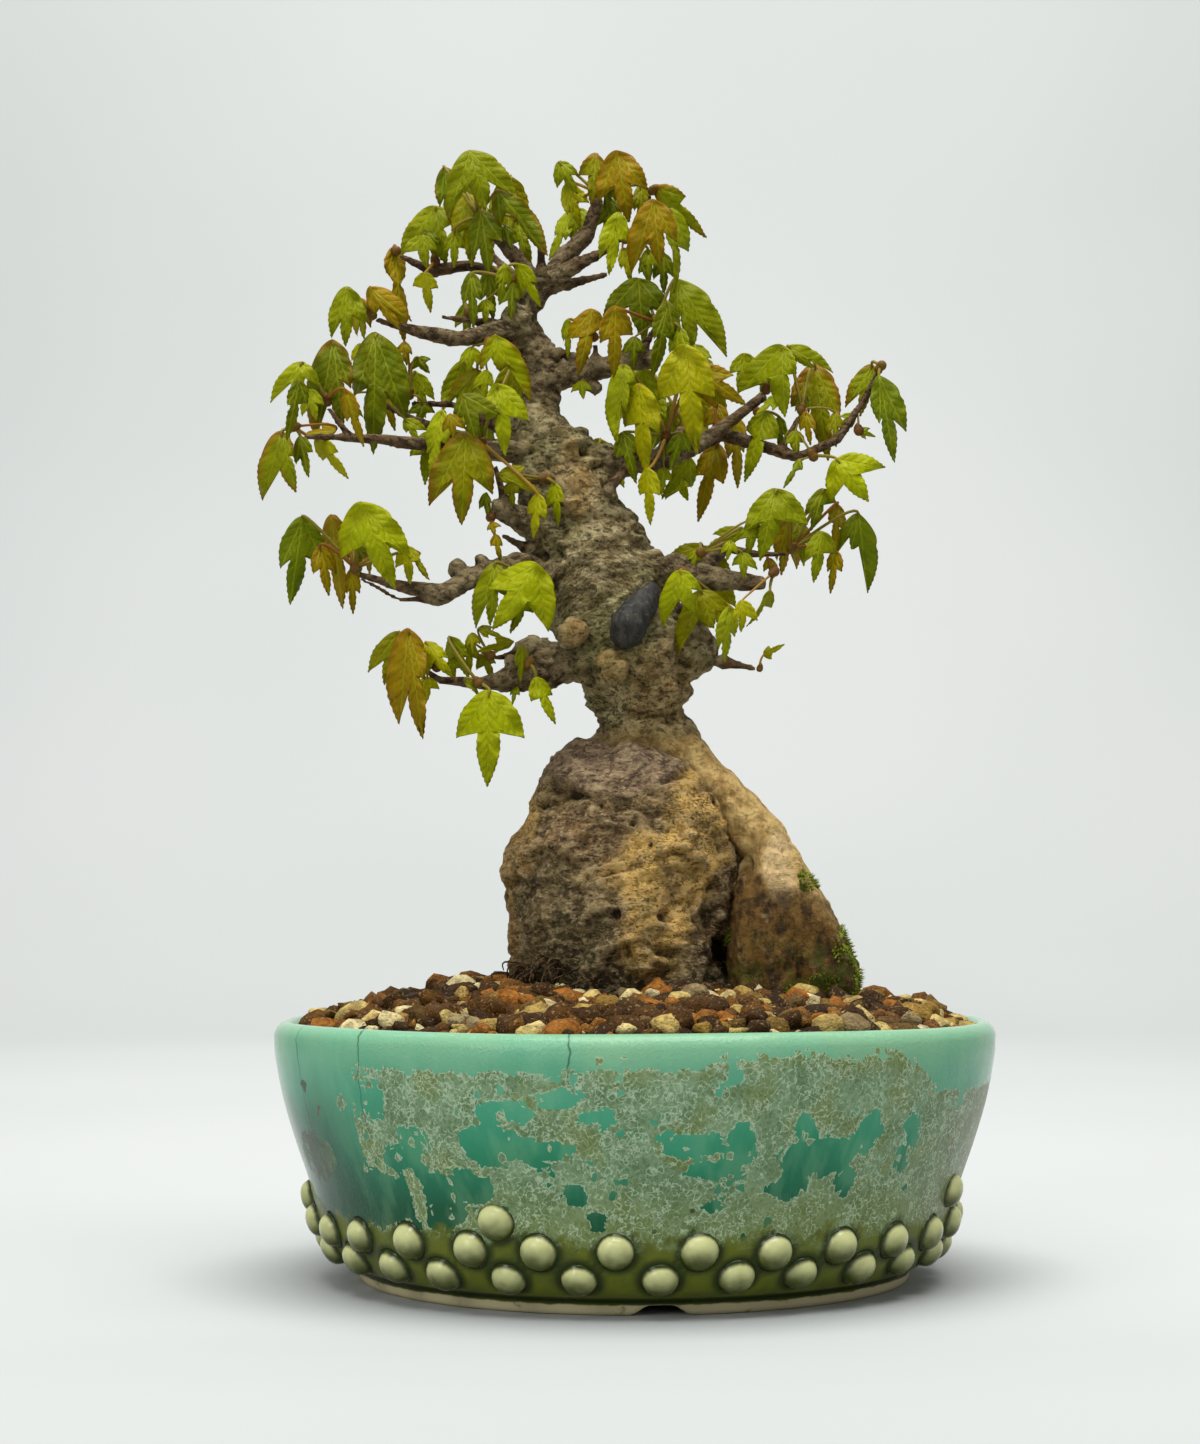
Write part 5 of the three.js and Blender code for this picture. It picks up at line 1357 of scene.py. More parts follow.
@dataclass
class Wood:
    """Roots, trunk, limbs and twigs, grown as one.

    Its tables place forms as seen from the front, in mm: a middle, a radius and how far it is pushed
    in or out, or for the moss a middle, half a width and half a height.
    """

    voxel: float = 0.72
    hollows: str = """
        -7.5 143 4.6 2.6, -4.5 138.5 3.2 1.5, -19 190 3 1.8, -14.5 190.6 2.8 2.4, -10.5 191.5 2.4 1.7,
        -24 181 2.6 1.6, -19.5 182 2.2 1.8, -15 184 2 1.3, -9.5 152.5 1.5 1.3, -6.5 155.6 0.9 0.8,
        -4.3 155.2 0.8 0.7, -3 152.5 0.9 0.6, 7 161.5 2.4 1.4, 3.5 160 1.8 0.8, 28.5 103.5 3.4 3,
        -13 208 1.6 1, 2 184 2.2 0.8
    """
    calluses: str = """
        -15.5 162 3.2 0.9, -6 153.5 4.2 0.7, -14 200.5 3 0.7, -14.5 194 2.6 0.8, -16 209 2.6 0.7,
        8.5 148.6 1.5 0.7
    """
    swells: str = """
        -27 163 7.5 7, 20 132 9 -1.8, -9 137 3.5 -1.2, -12 145 4 1.2, 13.5 147 4 1.5, -24 243 6 -1.5,
        -15 217 5 -1.4, -2 196 4 -1.2, 9 182.5 4 -1.2
    """
    mossy: str = "44 99 3.8 3.2, 53 81 3.5 8, 56 72 6 6, 47 71 8 5, 37 70 8 3.5, 22 88 2.5 11"

    def thickness(self, obj: Object, points: Array, out: Array) -> Array:
        """How thick the wood is under each point, found by looking straight in.

        Args:
            obj: The wood.
            points: Its points in mm.
            out: Their normals.

        Returns:
            The thickness at each point in mm, 40 at most.
        """
        tree, depth = surface_of(obj), np.empty(len(points))
        for i, (point, normal) in enumerate(zip(points, out)):
            inward = Vector(-normal)
            hit = tree.ray_cast(Vector(point) + inward * 0.3, inward)
            depth[i] = hit[3] + 0.3 if hit[3] is not None else 30.0
        return np.minimum(depth, 40.0)

    def build(self, node: Object) -> Object:
        """Covers the frame's tree with bark and dresses it.

        Args:
            node: The frame's tree.

        Returns:
            The finished wood.
        """
        obj = remeshed(merged_copy(node, "maple_wood"), self.voxel, 3)
        points, out = points_of(obj), normals_of(obj)
        thick = eased(obj, self.thickness(obj, points, out), 12)
        x, z = seen_from_front(points)
        front = smoothstep(0.1, -0.35, out[:, 1])
        strength = smoothstep(1.5, 12.0, thick) * (0.3 + 0.7 * smoothstep(128.0, 142.0, points[:, 2]))
        folds = np.abs(turbulence(points * (0.8, 0.8, 1.2), 7, 3, 5.0))
        lumps = turbulence(points, 14, 2, 3.0)
        relief = (1.7 * folds - 0.4 + 0.4 * turbulence(points, 2.9, 3, 9.0) + 0.9 * lumps) * strength * 1.2
        relief += 0.4 * turbulence(points, 2.4, 2, 1.0) * smoothstep(1.0, 4.0, thick)
        relief += 0.5 * smoothstep(1.5, 3.0, thick) * smoothstep(14.0, 8.0, thick)
        callus, moss = np.zeros(len(points)), np.zeros(len(points))
        for middle_x, middle_z, radius, push in table(self.calluses):
            away = np.hypot(x - middle_x, z - middle_z) / radius
            ring = np.exp(-(((away - 0.72) / 0.3) ** 2)) - 0.5 * np.exp(-((away / 0.3) ** 2))
            relief += push * ring * front
            callus = np.maximum(callus, smoothstep(1.3, 0.7, away + 0.25 * lumps) * front)
        for middle_x, middle_z, radius, push in table(self.hollows):
            relief -= push * smoothstep(1.25, 0.2, np.hypot(x - middle_x, z - middle_z) / radius) * front
        limit = 0.2 * thick + 0.05
        relief = np.clip(relief, -limit, limit)
        for middle_x, middle_z, radius, push in table(self.swells):
            relief += push * smoothstep(1.2, 0.1, np.hypot(x - middle_x, z - middle_z) / radius)
        move_points(obj, points + out * relief[:, None])
        for middle_x, middle_z, wide, high in table(self.mossy):
            moss = np.maximum(moss, smoothstep(1.2, 0.5, np.hypot((x - middle_x) / wide, (z - middle_z) / high)))
        patchy = smoothstep(-0.35, 0.15, turbulence(points, 5, 3, 6.0))
        set_floats(obj, "moss", moss * patchy * smoothstep(0.35, -0.1, out[:, 1]))
        set_floats(obj, "hollow", hollowness(obj, 8))
        set_floats(obj, "callus", callus)
        set_floats(obj, "thick", thick)
        return finish_piece(obj, BarkFinish().build(), "bark", "tree")


@dataclass
class WoundPutty:
    """The paste over the old wound on the front of the trunk.

    Its fillings are balls that close the necks of the frame's paste: x, z and depth as seen, radius.
    """

    voxel: float = 0.45
    filling: str = "-2 162 -16.6 4.2, 0.2 166.6 -15.4 4.4, 1.5 168.3 -14.6 4, 3.5 171.2 -12.8 3"

    def fill(self, form: BMesh) -> None:
        """Adds the filling to the paste's form.

        Args:
            form: The form.
        """
        for x, z, depth, radius in table(self.filling):
            spot = Matrix.Translation(seen_at(x, z, depth) * MM)
            bmesh.ops.create_icosphere(form, subdivisions=2, radius=radius * MM, matrix=spot)

    def build(self, node: Object) -> None:
        """Fills the frame's paste, eases it, ruffles it and dresses it.

        Args:
            node: The frame's paste.
        """
        obj = remeshed(reworked(merged_copy(node, "wound_paste"), self.fill), self.voxel, 40)
        points, out = points_of(obj), normals_of(obj)
        move_points(obj, points + out * (0.22 * turbulence(points, 4.0, 3, 1.0) + 0.2)[:, None])
        finish_piece(obj, PuttyFinish().build(), "putty", "wound_putty")


@dataclass
class Undergrowth:
    """Moss on the damp root and thin dark roots at the stone's left foot."""

    gap: float = 0.62
    density: float = 4000000.0
    shoots: int = 5
    strands: int = 70
    seed: int = 7
    tuft_seed: int = 23
    root_seed: int = 31

    def tuft(self) -> Object:
        """A few pointed shoots that spring from one spot, along +Z.

        Returns:
            The object.
        """
        draw = seeded_draw(self.tuft_seed)
        points, faces = [], []
        for _ in range(self.shoots):
            lean, turn, tall = 0.9 * draw(), 6.28 * draw(), 0.8 + 0.8 * draw()
            first = len(points)
            for k in range(3):
                points.append((0.26 * math.cos(turn + k * 2.094), 0.26 * math.sin(turn + k * 2.094), -0.3))
            points.append((tall * lean * math.cos(turn), tall * lean * math.sin(turn), tall))
            faces += [(first + a, first + b, first + c) for a, b, c in ((0, 1, 3), (1, 2, 3), (2, 0, 3), (0, 2, 1))]
        obj = mesh_object("moss_tuft", points, faces)
        set_floats(obj, "tip", [0.0, 0.0, 0.0, 1.0] * self.shoots)
        return obj

    def moss(self, wood: Object) -> None:
        """Strews tufts by Geometry Nodes where the wood is mossy.

        Args:
            wood: The finished wood.
        """
        def bare(form: BMesh) -> List[BMFace]:
            """The faces that aren't mossy."""
            share = form.verts.layers.float["moss"]
            return [f for f in form.faces if sum(v[share] for v in f.verts) / len(f.verts) < 0.45]

        ground, tuft = without(linked("moss_tufts", wood.data.copy()), bare), self.tuft()
        t = GeometryTree("moss_bed")
        gap, seed = t.given("Gap", self.gap * MM), t.given("Seed", self.seed)
        strewn = t.strewn(gap, self.density, seed)
        size = t.random(0.0, 1.0, seed + 1.0).by(0.75, 0.35)
        finish = MossFinish().build()
        t.grow(ground, t.copies(strewn, tuft, strewn.also("Rotation"), size), finish)
        bpy.data.objects.remove(tuft)
        finish_piece(ground, finish, "moss")

    def thin_roots(self, stone: Object) -> None:
        """Lays thin dark roots from the stone's left foot down onto the bed.

        Args:
            stone: The finished stone.
        """
        surface, draw = surface_of(stone), seeded_draw(self.root_seed)
        rows, faces = [], []
        for _ in range(self.strands):
            guess = seen_at(-38 + 25 * draw(), 71 + 8 * draw() ** 2, -10 - 20 * draw())
            start, way = (np.array(v) for v in surface.find_nearest(guess)[:2])
            way = unit(way + (np.array((draw(), draw(), draw())) - 0.5) * 1.2)
            reach, sway = 3 + 5.5 * draw(), np.array((draw(), draw(), draw())) - 0.5
            path = []
            for t in np.linspace(-0.1, 1, 8):
                sag = np.array((0, 0, 0.7 * reach * t * t))
                path.append(start + way * reach * t + sway * 5 * math.sin(3 * t) - sag)
            points, sides = tube(np.array(path), [0.36 - 0.03 * i for i in range(8)], 5, len(rows))
            rows += list(points)
            faces += sides
        g = Graph("thin_roots")
        color = g.noise(2, 4, 0.7).blend(0.4, 0.62, (24, 16, 6), (82, 60, 30))
        obj = mesh_object("thin_roots", rows, faces)
        finish_piece(obj, g.surface(color, 0.8, None, Specular_IOR_Level=0.2), "bark")


class LeafRow(NamedTuple):
    """A leaf as it is read: base, left, middle and right tip as seen, and how far behind its bud."""

    spots: Array
    behind: float
    tone: str
    young: bool = False


class SprayRow(NamedTuple):
    """A spray as it is read: its bud, the part of the view that it hangs behind, and its leaves."""

    bud: Array
    span: Array
    leaves: List[LeafRow]


def sprays_from(text: str) -> Dict[str, SprayRow]:
    """Sprays written as text, each a name and numbers with its leaves indented below it.

    Args:
        text: The lines.

    Returns:
        The sprays by their names.
    """
    sprays: Dict[str, SprayRow] = {}
    for line in text.strip("\n").splitlines():
        words = line.split()
        if line.startswith(" "):
            spots, tone = np.array(words[:8], float).reshape(4, 2), words[9]
            leaves.append(LeafRow(spots, float(words[8]), tone.strip("*"), "*" in tone))
        else:
            numbers, leaves = np.array(words[1:], float), []
            sprays[words[0]] = SprayRow(numbers[:3], numbers[3:], leaves)
    return sprays


# Each spray: its name and where its bud stands, then its leaves, each as seen from the front in mm:
# base, left, middle and right tip as pairs of x and height, how far it lies behind the bud, and its
# tone, with + for a bronze edge and * for a small young leaf that the frame leaves out. A spray at the
# back has left, right, top and bottom of the part of the view behind which its leaves hang.
SPRAYS = sprays_from("""
crown_left -40 268.5 0
  -42 285.3 -47 270 -38 271 -30.5 273.5 -9 green
  -35 275.3 -34 266 -28 267 -22.7 259 -3 dark+
  -42.5 274 -46 263 -41.5 256 -37 262 -5 olive
  -48.5 281 -49.5 271 -47 267 -45 276 1 blue+
  -39 270 -41 258 -37 253.5 -34 262 3 dark
  -30 267.5 -31.5 261 -26.5 255.5 -25 263 2 green
  -33 266 -34.3 262 -31.5 260.5 -30.3 264 -1 dark*
  -46 264.5 -48.5 259.5 -46 255.5 -43 260 2 green*
crown_far_left -50.8 257 8.2
  -51 271 -59.3 258.5 -48 256.5 -46.5 266.5 -6 green
  -54 263.5 -59 259 -53 255.3 -50.5 259.5 -9 green
  -53.5 254 -56.3 250.5 -52 244 -50.3 250 -3 yellow
  -53 265 -55.5 262 -51 259 -49.5 261 -3 dark*
crown_far_left_tip -60.4 259.4 6.8
  -61.5 260.2 -63.3 254 -58.7 236.5 -58.8 252.5 -2 bronze
crown_spur -31.5 252.3 -6
  -33 256.2 -35.2 251 -34.5 246 -32.2 250.5 -5 green
  -29.5 256.2 -28.3 248 -24 245.5 -25 251.5 -6 bright
  -41.5 254 -43.5 246 -41 240 -39.5 247 3 dark
  -37.5 254.5 -39 247 -36 242 -34.5 247.5 2 dark
  -31 251.5 -34 246 -31.5 242 -29.5 247 0 dark*
  -38 247 -40.3 243.5 -38 240.7 -35.5 244 2 green*
upper_left_bud -42 242.6 -1.5
  -43 246 -45.5 240 -42.5 236.5 -40 240 4 dark
upper_left_tip -67 243.4 -12.5
  -73.5 250.2 -77 237.5 -73.7 235.5 -69 241 -5 green
  -67.5 250.3 -66 243 -60 239.8 -57.2 241.7 -3 bronze
  -70 247 -70.6 238 -69 237.3 -67.4 240 3 yellow+
upper_left_under -37 237.8 -7.6
  -35.5 237.9 -39 229 -34.5 229 -27 221.5 -4 bright+
  -37.5 229 -41 224 -38.5 221.5 -36.3 224.5 -6 bright
  -40 229.3 -47 221.5 -42.5 222.5 -38 222 1 olive+
  -41.5 235 -44.5 230.3 -42.5 228.5 -38.7 229.5 0 bright*
long_left_tip -86.6 214.6 -34.6
  -85.5 226.3 -88.3 220 -88.5 211.5 -83.5 220.5 -5 dark
  -90 213.2 -94.3 196.2 -86.2 198.2 -86.8 207 -2 green+
  -85 212 -86 205 -83 201.8 -82 208 0 dark
  -81 211.5 -79 206 -73 201.5 -75.5 208 2 yellow
  -76 213.6 -80 215.4 -84 212.6 -80 212.4 1 bronze
long_left_fork -78.3 220.8 -24
  -76.8 236.5 -80.8 212 -74.3 215 -72.5 224.5 -5 dark+
  -85 231 -92.3 221 -86 223.5 -80.5 225 1 pale
  -82.5 224 -84.5 217.3 -81 216.3 -79.2 220 3 pale
  -73.5 224 -73 216 -69 209.8 -70.5 216 0 bronze
thin_left -57.8 221.2 1.5
  -55.5 228.3 -57 221.5 -53.3 217 -51.2 221.5 3 bright
  -58.5 236.2 -60.7 233 -58 230.3 -56.8 233 -1 bronze*
  -55 232.3 -57.5 228.5 -52.3 228.3 -52 231.7 0 dark*
  -54 220.5 -57.7 217.7 -55 214.7 -51 218 0 dark*
rising_left -66.8 222.4 -6.3
  -66 238.2 -71 222.5 -66.5 208.3 -58.5 217 -9 dark
  -70 235.8 -72 231.5 -70.5 228.5 -68.5 231 1 yellow
  -63 222.5 -65 217 -61 213.7 -60.3 217.5 1 bronze
  -58.5 216.5 -58 213 -55 210.3 -53 213.5 2 bright
  -66 219.5 -67.2 216 -64.5 214.5 -63.5 217 2 bronze*
  -72 221.7 -71.6 219 -69.2 217 -70 219.4 0 green*
long_left_front -50 210.5 -12.8
  -43 212.8 -51.8 194.7 -44 190 -36.5 197.5 -6 olive+
  -52.5 213 -57 207 -53.3 200 -50.2 206 0 green
  -49 218.5 -52.5 207.5 -52 201.5 -48 210 -3 pale
  -47 217.7 -48.6 213 -46 211.7 -43 213.8 -8 bronze*
long_left_root -40 209.6 -9.4
  -43.5 222.7 -45.5 216 -40.5 211.5 -34.5 217.5 -11 dark
  -35 225.3 -37.5 216 -33 207.5 -27.3 216 -7 bright
  -24.5 197.3 -27 192 -25.7 186 -22.8 191 -6 yellow
left_stub -36.9 192.6 -12.2
  -35.3 187 -36.5 184 -34 180.2 -33.7 184 -1 bronze
  -38 197.5 -39.3 193.5 -37 191.3 -36.5 195 -1 dark*
  -36.5 190 -37.3 188 -35.5 186.5 -34 189 -2 bronze*
trunk_front -22 201.3 -10
  -20.3 200 -22 194 -19.3 189.5 -18.3 195 -5 bright
  -34.5 202.3 -32 200 -24 197.7 -28 204 -4 olive
  -31.3 200.5 -33.7 197 -31 193.3 -29.3 197.5 0 olive*
lower_left_tip -71 178 -20.6
  -69.5 195 -74 181 -61 173.7 -57.3 181 -8 bright
  -80 184 -81.5 177 -77.7 171.7 -76 177 -2 bronze
  -84.5 191.2 -89.8 178.5 -87.5 169.7 -79 179 -4 blue
  -77 191.7 -77.5 180 -74.2 168.7 -72.8 180 -2 bronze
  -71 187 -73 181 -70 176 -67 182 -3 dark
  -72 178 -73 172 -71.5 167 -70 172 0 bronze
  -57.5 183 -56 180 -52.3 175.5 -54.3 182 1 green+
  -68.5 186 -68.5 180 -67.3 177 -65.5 180 0 bronze
  -58 184 -60.5 178.5 -57 174.5 -54.5 180 0 yellow*
trunk_left -30 177.5 -13.2
  -25 179.3 -36.8 172.8 -35.8 163.2 -22.3 162.7 -9 bright
  -35.5 179.5 -40 163.5 -36.7 164.2 -32.5 171 -3 green
  -27 172 -33 164.5 -31.5 162 -26 167 -4 dark
lowest_left_tip -58.7 157 -18.3
  -57.5 162.6 -59.5 139.3 -53.8 135.7 -53.5 150 -5 bronze
  -60 162 -67.3 152 -63.5 149 -58 152 -2 olive
  -55 158.5 -57.5 156 -56.3 153 -54 155 1 green*
lowest_left_middle -50.3 153.3 -19.3
  -53 159.5 -52.3 151.5 -46.3 150.8 -47.5 155.5 -5 yellow
  -52.5 150.7 -56 146 -53 144 -49.7 147.5 1 yellow
lowest_left_low -39.8 149.4 -21.2
  -37 146.8 -44.8 135.3 -37.3 123.5 -28.4 135.2 -3 bright
  -46.5 160.8 -46.8 154.5 -42 150.5 -42.5 156 2 green
  -43 149.7 -41.5 147.6 -39.3 146 -40.3 149.6 1 green*
lowest_left_young -36.7 156.3 -14.6
  -31 159.5 -35.5 160.4 -40 157 -36 157.6 -3 olive
  -38 157 -40 152.5 -36 150 -35.3 154 -3 olive
  -41.5 161.7 -42.7 158 -41 156.3 -39.3 159 -2 olive*
  -39.5 163.2 -37 160.7 -33.5 160.8 -36 163.2 1 olive*
  -42 159.5 -44 155.3 -42 151.3 -39.7 155 0 olive*
  -46 155.5 -48 152 -46 149.5 -44 152.7 1 green*
lowest_left_under -27.5 152.8 -15.6
  -28.5 158.5 -30 153.5 -29 149.5 -27 153.5 -2 green
  -25 150.5 -26 144.5 -20.2 139 -21 146 -1 bright
  -30 148.5 -31.5 146 -31 143.7 -29.3 146 0 green*
lower_right_tip 35.4 177.4 -12.6
  34.5 172.7 32 167.3 28.5 163.8 34.5 168.3 -1 green
  27.3 170.2 25.5 164.3 27 162.3 31 165 -5 yellow
  34 181 33 177.5 35.5 176 36.3 178.5 2 bronze*
lower_right_front 12.5 177.5 -13.6
  11.5 177.8 7.5 163.8 15.2 167.3 16.7 172.5 -6 bright
  17 172.7 11.5 157 20 163.3 24.5 166 -2 olive
  24.3 168.7 21.5 158 22.8 154.8 25.2 161 -3 pale
lower_right_top 17 182.4 -11.4
  17.3 184 9.8 182 18.5 173 24 178 -6 olive
  27 188.3 20 187 18.3 183.5 23.5 184 0 green
  24.5 185.3 22 182 23.5 180.5 26 182 -5 bright*
  27.5 182.3 25 179 27.7 175.7 31 178 -4 green*
  16 183 13.3 180.3 14.5 178.3 17 180 0 green*
  30.5 190 26.3 185.5 28.7 181.8 33 185 -2 green*
lower_right_upper 39.5 182.7 -7.3
  36 198.4 28.3 187.5 32 180.8 43.5 189.5 -7 green
  47.5 187.7 43.5 180 45.5 175 51 182 -4 green
  42 190 40.8 183.5 43 179.2 44.7 184 -2 green
  39 191.7 36.3 180.5 37.3 177 41 178.5 -3 bronze
  51.5 194.7 49.5 190 51 182.5 53 188 -2 bronze
  48 198.6 43.5 191.5 45 188.3 51 195 0 dark
  51 183 49.2 177.5 49.8 172.2 52.5 177.5 0 bronze
  57 192.3 51.7 182.3 55.2 183.5 59 172.8 2 blue
long_right_tip 33.5 223.4 0.8
  37.5 235.2 27 223.4 38.3 217.5 41 228 -7 green
  37 222.7 33 220.4 31 218 35 218.8 -4 pale
  28 233.2 24.3 228 26.5 223.2 31 230.5 1 green
  33 228 30.5 225 32.5 221.5 34 224 3 dark*
long_right_middle 30.5 218.5 -0.5
  33.5 218.2 28.5 213.5 28.2 200.9 36.3 211.5 -4 green
  37 217 35 211.5 37.5 207.3 38.5 212 1 dark
far_right_tip 64.6 231.8 -5
  62.3 227.3 62.5 215.5 66 206 68.8 213.5 -5 blue
  60.5 230.3 54 219.7 57.5 217.5 61.8 223.5 2 green+
far_right_bud 56.5 215.2 -6
  57 213.8 59 211.4 61.3 212 60 214 -1 green
  56 217.7 52.3 217 52.3 214.9 55 214.3 2 green*
far_right_low 44 208.2 -6.9
  51.5 206.2 50.3 195.5 59.3 195.7 63.4 204 -4 bright
  42 206.2 40.2 203.5 38 199 42.5 203.5 0 dark
  40 214 38 210.5 40.3 208.7 42.5 211.5 5 bright*
far_right_upper 42.6 218.6 -4.4
  46 230.2 40.2 219.6 49.2 206.5 52 217 -5 olive+
  43.5 218.3 42.3 213.5 44.8 210 46 213.5 -2 bronze
  39 235.3 40.8 228 45.5 229.8 50.2 228.5 2 green
  43.8 222.5 41 218.5 42 215.5 44.2 218 1 dark
  41 213.5 38.5 210 41.3 206.7 43.3 210.3 -1 green*
  51 218 49.3 213 51.3 209.5 53 214 0 olive*
middle_right 8 211.4 -6.6
  13 235.2 6.5 221.5 15.8 208.3 20 222 -9 yellow
  1.2 225.2 -2.3 214.5 3 202.5 6 213 -7 yellow
  12 213 8 207 9 203.5 14 208 2 blue
  15.5 229.5 21 219.5 28.2 220.3 25 227.5 -5 bronze
  3.5 203.8 1.5 197 4 189.7 6.2 197 -3 yellow
  -3 230.4 -4.2 210.5 -2.3 218.7 0 226 -3 pale
  14 206.7 9 201 7 196.3 14.5 199.5 -1 green
  -3 213 -4.5 206.5 0.3 200.3 2 208 0 dark
  15.5 235.5 17 229.5 21.5 227.3 19.5 232 3 green
  12 201.5 8 196 13.6 195.8 14.5 199 4 bright
  7.5 204 4.8 200.7 6.8 197 9.3 200.7 0 green*
middle_right_low 21 212.9 5.2
  21 210.2 15.8 202 16.3 190.8 22.3 200 -1 bronze
  26 217 24 206.5 26.2 199.3 27.6 208 0 bronze
  21 220.3 18 214.5 21 209 24 215 2 bronze
upper_right 5.6 240.6 -5.6
  -5 245.2 -8.5 236 -5.3 227.5 -0.8 238 -9 bronze
  8.5 246.5 5 237 4.5 227.3 10.3 236 -6 dark
  1 252.4 -7.6 242.7 2 238 9 242.5 -4 dark
  11 252.2 11 241 14.8 234.8 22.9 233 0 green
  3.5 243.7 1 238.3 2 235.5 4.3 240 1 dark
  11.5 240 9 233.5 10.3 228.5 13.5 234 -3 green*
  0 237.5 -3 233 -0.3 229.3 2.3 233.5 -2 dark*
upper_right_thorn -10 237 -3.5
  -10.7 244.4 -17 237 -14.3 228.2 -7.8 240 -5 bronze
  -17 242 -18 236.5 -17 232.3 -15.8 237 2 green
crown_right -9.4 274.2 6
  -4.5 285.2 -9 272.5 -1.5 267.5 3 275.5 -9 bronze
  -9.8 284.6 -14 279 -11 271.5 -8 276 -5 olive+
  -19.2 282.6 -19.5 276 -14.7 274.5 -14.3 279 -2 green
  -17.5 276.7 -17 269 -14 266 -11.8 272 1 yellow
  -7 279 -8.5 273 -7 269 -5 272.5 2 dark
  -16.5 269.5 -20.3 263.5 -21.7 257.5 -17.8 262.5 3 pale
  -14.5 270.5 -15.8 262 -12.5 261.8 -11 268 5 green
  -6 273 -9.5 266 -7.5 260.5 -3.5 267 3 dark*
  1.5 276.5 0 270 1.5 266 4 272 -3 olive*
crown_middle -2.6 262.4 -1.6
  4.8 272.7 -0.4 254.5 6.5 256.5 10.5 262 -12 bronze
  -4 269.3 -8.7 258 -6.5 253.8 -2.3 262 -8 bright
  9.5 270.3 10.5 259 10 249.5 13.5 259.5 -5 green
  -3 260.3 -3.3 255 -1 251.7 0.6 257 -3 yellow
  7.5 259 5 252.3 7.5 248.7 9.7 253 2 dark
  2 256.5 1.2 253.7 3.2 252.3 4.7 254.5 1 dark*
  3.5 260 1.5 255 3.5 251 6 255.5 1 green*
crown_top_right 4.2 274.8 1.8
  5.5 276 13.7 266.3 18 263.3 13 273.5 -1 green+
back_trunk -17.3 192.8 36.6 -29 -5 212 184
back_left -36.8 217.6 31 -47 -28 232 204
back_right 15 168.6 33 6 24 178 158
back_crown -36.8 259 25 -47 -29 279 254
back_upper 12.7 215 23 -2 21 230 200
lowest_right_bud 31.8 153 -6
  32.8 156.4 34.9 155.4 38 159 34.3 158.6 0 yellow*
upper_right_under -12.6 226 -3.4
  -13.5 226.2 -16 223.3 -13 221.7 -10.8 223.7 -2 green*
""")


class Tone(enum.Enum):
    """The colours that the leaves have in late spring; DARK is partly painted shade for leaves deep in the crown, and
    BRIGHT partly painted light for lit leaves at its front.
    """

    GREEN = (136, 144, 0)
    # Partly painted shade.
    DARK = (98, 110, 0)
    # Partly painted light.
    BRIGHT = (170, 178, 0)
    OLIVE = (140, 136, 0)
    PALE = (162, 170, 12)
    YELLOW = (176, 170, 0)
    BLUE = (102, 122, 4)
    BRONZE = (158, 126, 2)


@dataclass(frozen=True)
class LeafFinish:
    """A thin leaf with three main veins, side veins, a fine net and bronze where it is young."""

    vein: Color = (182, 188, 36)
    bronze: Color = (150, 96, 22)
    through: float = 0.38

    def build(self) -> Material:
        """Builds the finish.

        Returns:
            The material.
        """
        g = Graph("leaf_blade")
        across, along, _ = g.split(g.node("ShaderNodeUVMap", uv_map="veins"))
        tone = g.stored("tone", "Color")
        blade = g.stored("blade")
        edge = g.stored("edge")
        blotch = g.noise(9, 4, 0.6)
        color = g.mix(blotch.between(0.36, 0.64, 0.0, 0.3), tone, g.mix(0.5, tone, (176, 166, 0)))
        color = g.mix(g.noise(4, 3).between(0.52, 0.66, 0.0, 0.25), color, g.mix(0.5, tone, (52, 74, 22)))
        side = g.math("SIGN", across)
        wide = g.math("ABSOLUTE", across)
        wave = g.noise(5, 2).by(1.0, along)
        step = g.math("FRACT", wide.by(-0.95, side.by(0.55, wave)) / 2.3)
        ribs = step.peak(0.5, 0.075) * wide.between(4.5, 0.6, 0.25, 0.8)
        midrib = wide.between(0.14, 0.32, 1.0, 0.0)
        net = g.cells(1.15, "DISTANCE_TO_EDGE").between(0.0, 0.12, 0.3, 0.0)
        veins = (midrib | ribs | net) * blade
        color = g.mix(veins * 0.42, color, self.vein)
        rim = edge.shaken(blotch, 0.7)
        rust = rim.between(0.66, 1.12) * g.stored("bronze")
        color = g.mix(rust, color, self.bronze)
        specks = g.cells(3.4).between(0.13, 0.07) * g.noise(14, 1).between(0.52, 0.6)
        color = g.mix(specks * 0.6, color, (92, 66, 28))
        glow = g.mix(0.35, color, (190, 200, 0))
        glow = g.mix(veins * 0.45, glow, (112, 128, 20))
        pleat = step.peak(0.5, 0.5) * blade
        relief = g.bump(1.0 - pleat, 0.11)
        relief = g.bump(1.0 - veins, 0.15, relief)
        relief = g.bump(g.noise(4, 2), 0.7, relief)
        return g.surface(color, 0.38, relief, self.through, glow, Specular_IOR_Level=0.1)


